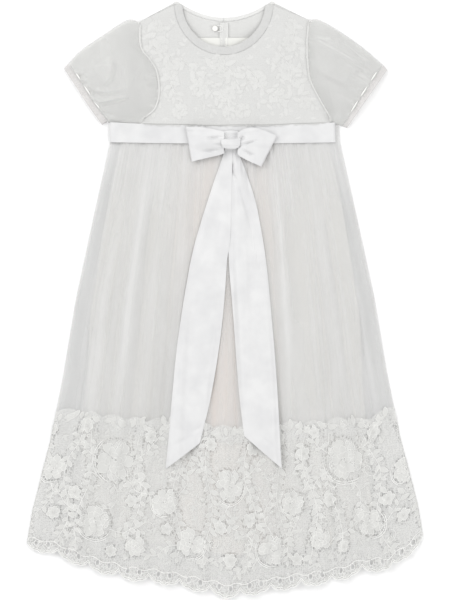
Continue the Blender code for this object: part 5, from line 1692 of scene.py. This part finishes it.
def area_light(name, place, size, power):
    """A soft square light that faces the dress."""
    data = bpy.data.lights.new(name, "AREA")
    data.size = size
    data.energy = power
    placed = bpy.data.objects.new(name, data)
    placed.location = place
    placed.rotation_euler = (-Vector(place)).to_track_quat("-Z", "Y").to_euler()
    bpy.context.scene.collection.objects.link(placed)


on_bodice = [flowers_bodice, seams_bodice, waist_shadow_piece]

# Each sheet: the cut of what shows in metres, its area, how it is held, what it rests on and what is sewn to it
for piece, flat, area, held, below, pieces in (
    (tulle_front, (0.44, 0.395), None, "gathered", [lining_front], []),
    (tulle_back, (0.42, 0.37), None, "gathered", ["floor"], []),
    (lining_front, (0.37, 0.515), 0.158, "laid", [lining_back], []),
    (lining_back, (0.37, 0.515), 0.158, "laid", [tulle_back, net_back], []),
    (net_front, (0.52, 0.17), None, "gathered", [tulle_front, lining_front], [flowers_front]),
    (net_back, (0.46, 0.17), None, "gathered", ["floor"], [flowers_back]),
    (bodice, (0.23, 0.145), 0.0225, "laid", [yoke_lining, back_left, back_right], on_bodice),
    (binding, (0.19, 0.01), None, "folded", [bodice], []),
    (back_left, (0.107, 0.125), 0.0117, "laid", ["floor"], []),
    (back_right, (0.132, 0.125), 0.0140, "laid", ["floor"], [loop]),
    (edge_left, (0.062, 0.01), 0.0003, "folded", [back_left], []),
    (edge_right, (0.062, 0.01), 0.0003, "folded", [back_right], []),
    (yoke_lining, (0.18, 0.097), 0.0148, "laid", [back_left, back_right], []),
    (strip, (0.0102, 0.033), None, "laid", [yoke_lining], []),
    (puff_left, (0.19, 0.105), 0.018, "gathered", ["floor"], []),
    (puff_right, (0.19, 0.105), 0.0145, "gathered", ["floor"], []),
    (cuff_left, (0.156, 0.01), 0.00135, "folded", ["floor"], [threads_left]),
    (cuff_right, (0.156, 0.01), 0.00135, "folded", ["floor"], [threads_right]),
    (sash, (0.27, 0.024), None, "laid", [bodice, tulle_front], []),
    (sash_behind, (0.27, 0.024), None, "laid", ["floor"], []),
    (tail_left, (0.05, 0.39), 0.0155, "laid", [tulle_front, net_front], []),
    (tail_right, (0.05, 0.39), 0.0155, "laid", [tulle_front, net_front], []),
    (loop_left, (0.042, 0.092), 0.0033, "folded", [sash], []),
    (loop_right, (0.042, 0.092), 0.0033, "folded", [sash], []),
    (knot, (0.023, 0.025), None, "folded", [loop_left, loop_right], []),
):
    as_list(below)
    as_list(pieces)

floor()
area_light("key", *KEY_LIGHT)
area_light("fill", *FILL_LIGHT)
world = bpy.data.worlds.new("studio")
bpy.context.scene.world = world
world.use_nodes = True
world.node_tree.nodes["Background"].inputs[0].default_value = (1, 1, 1, 1)
world.node_tree.nodes["Background"].inputs[1].default_value = STUDIO_STRENGTH

camera = bpy.data.cameras.new("camera")
camera.lens = LENS
camera.sensor_width = SENSOR
camera.clip_end = 20
eye = bpy.data.objects.new("camera", camera)
eye.location = EYE_AT
bpy.context.scene.collection.objects.link(eye)
bpy.context.scene.camera = eye
bpy.context.scene.view_settings.view_transform = "Standard"
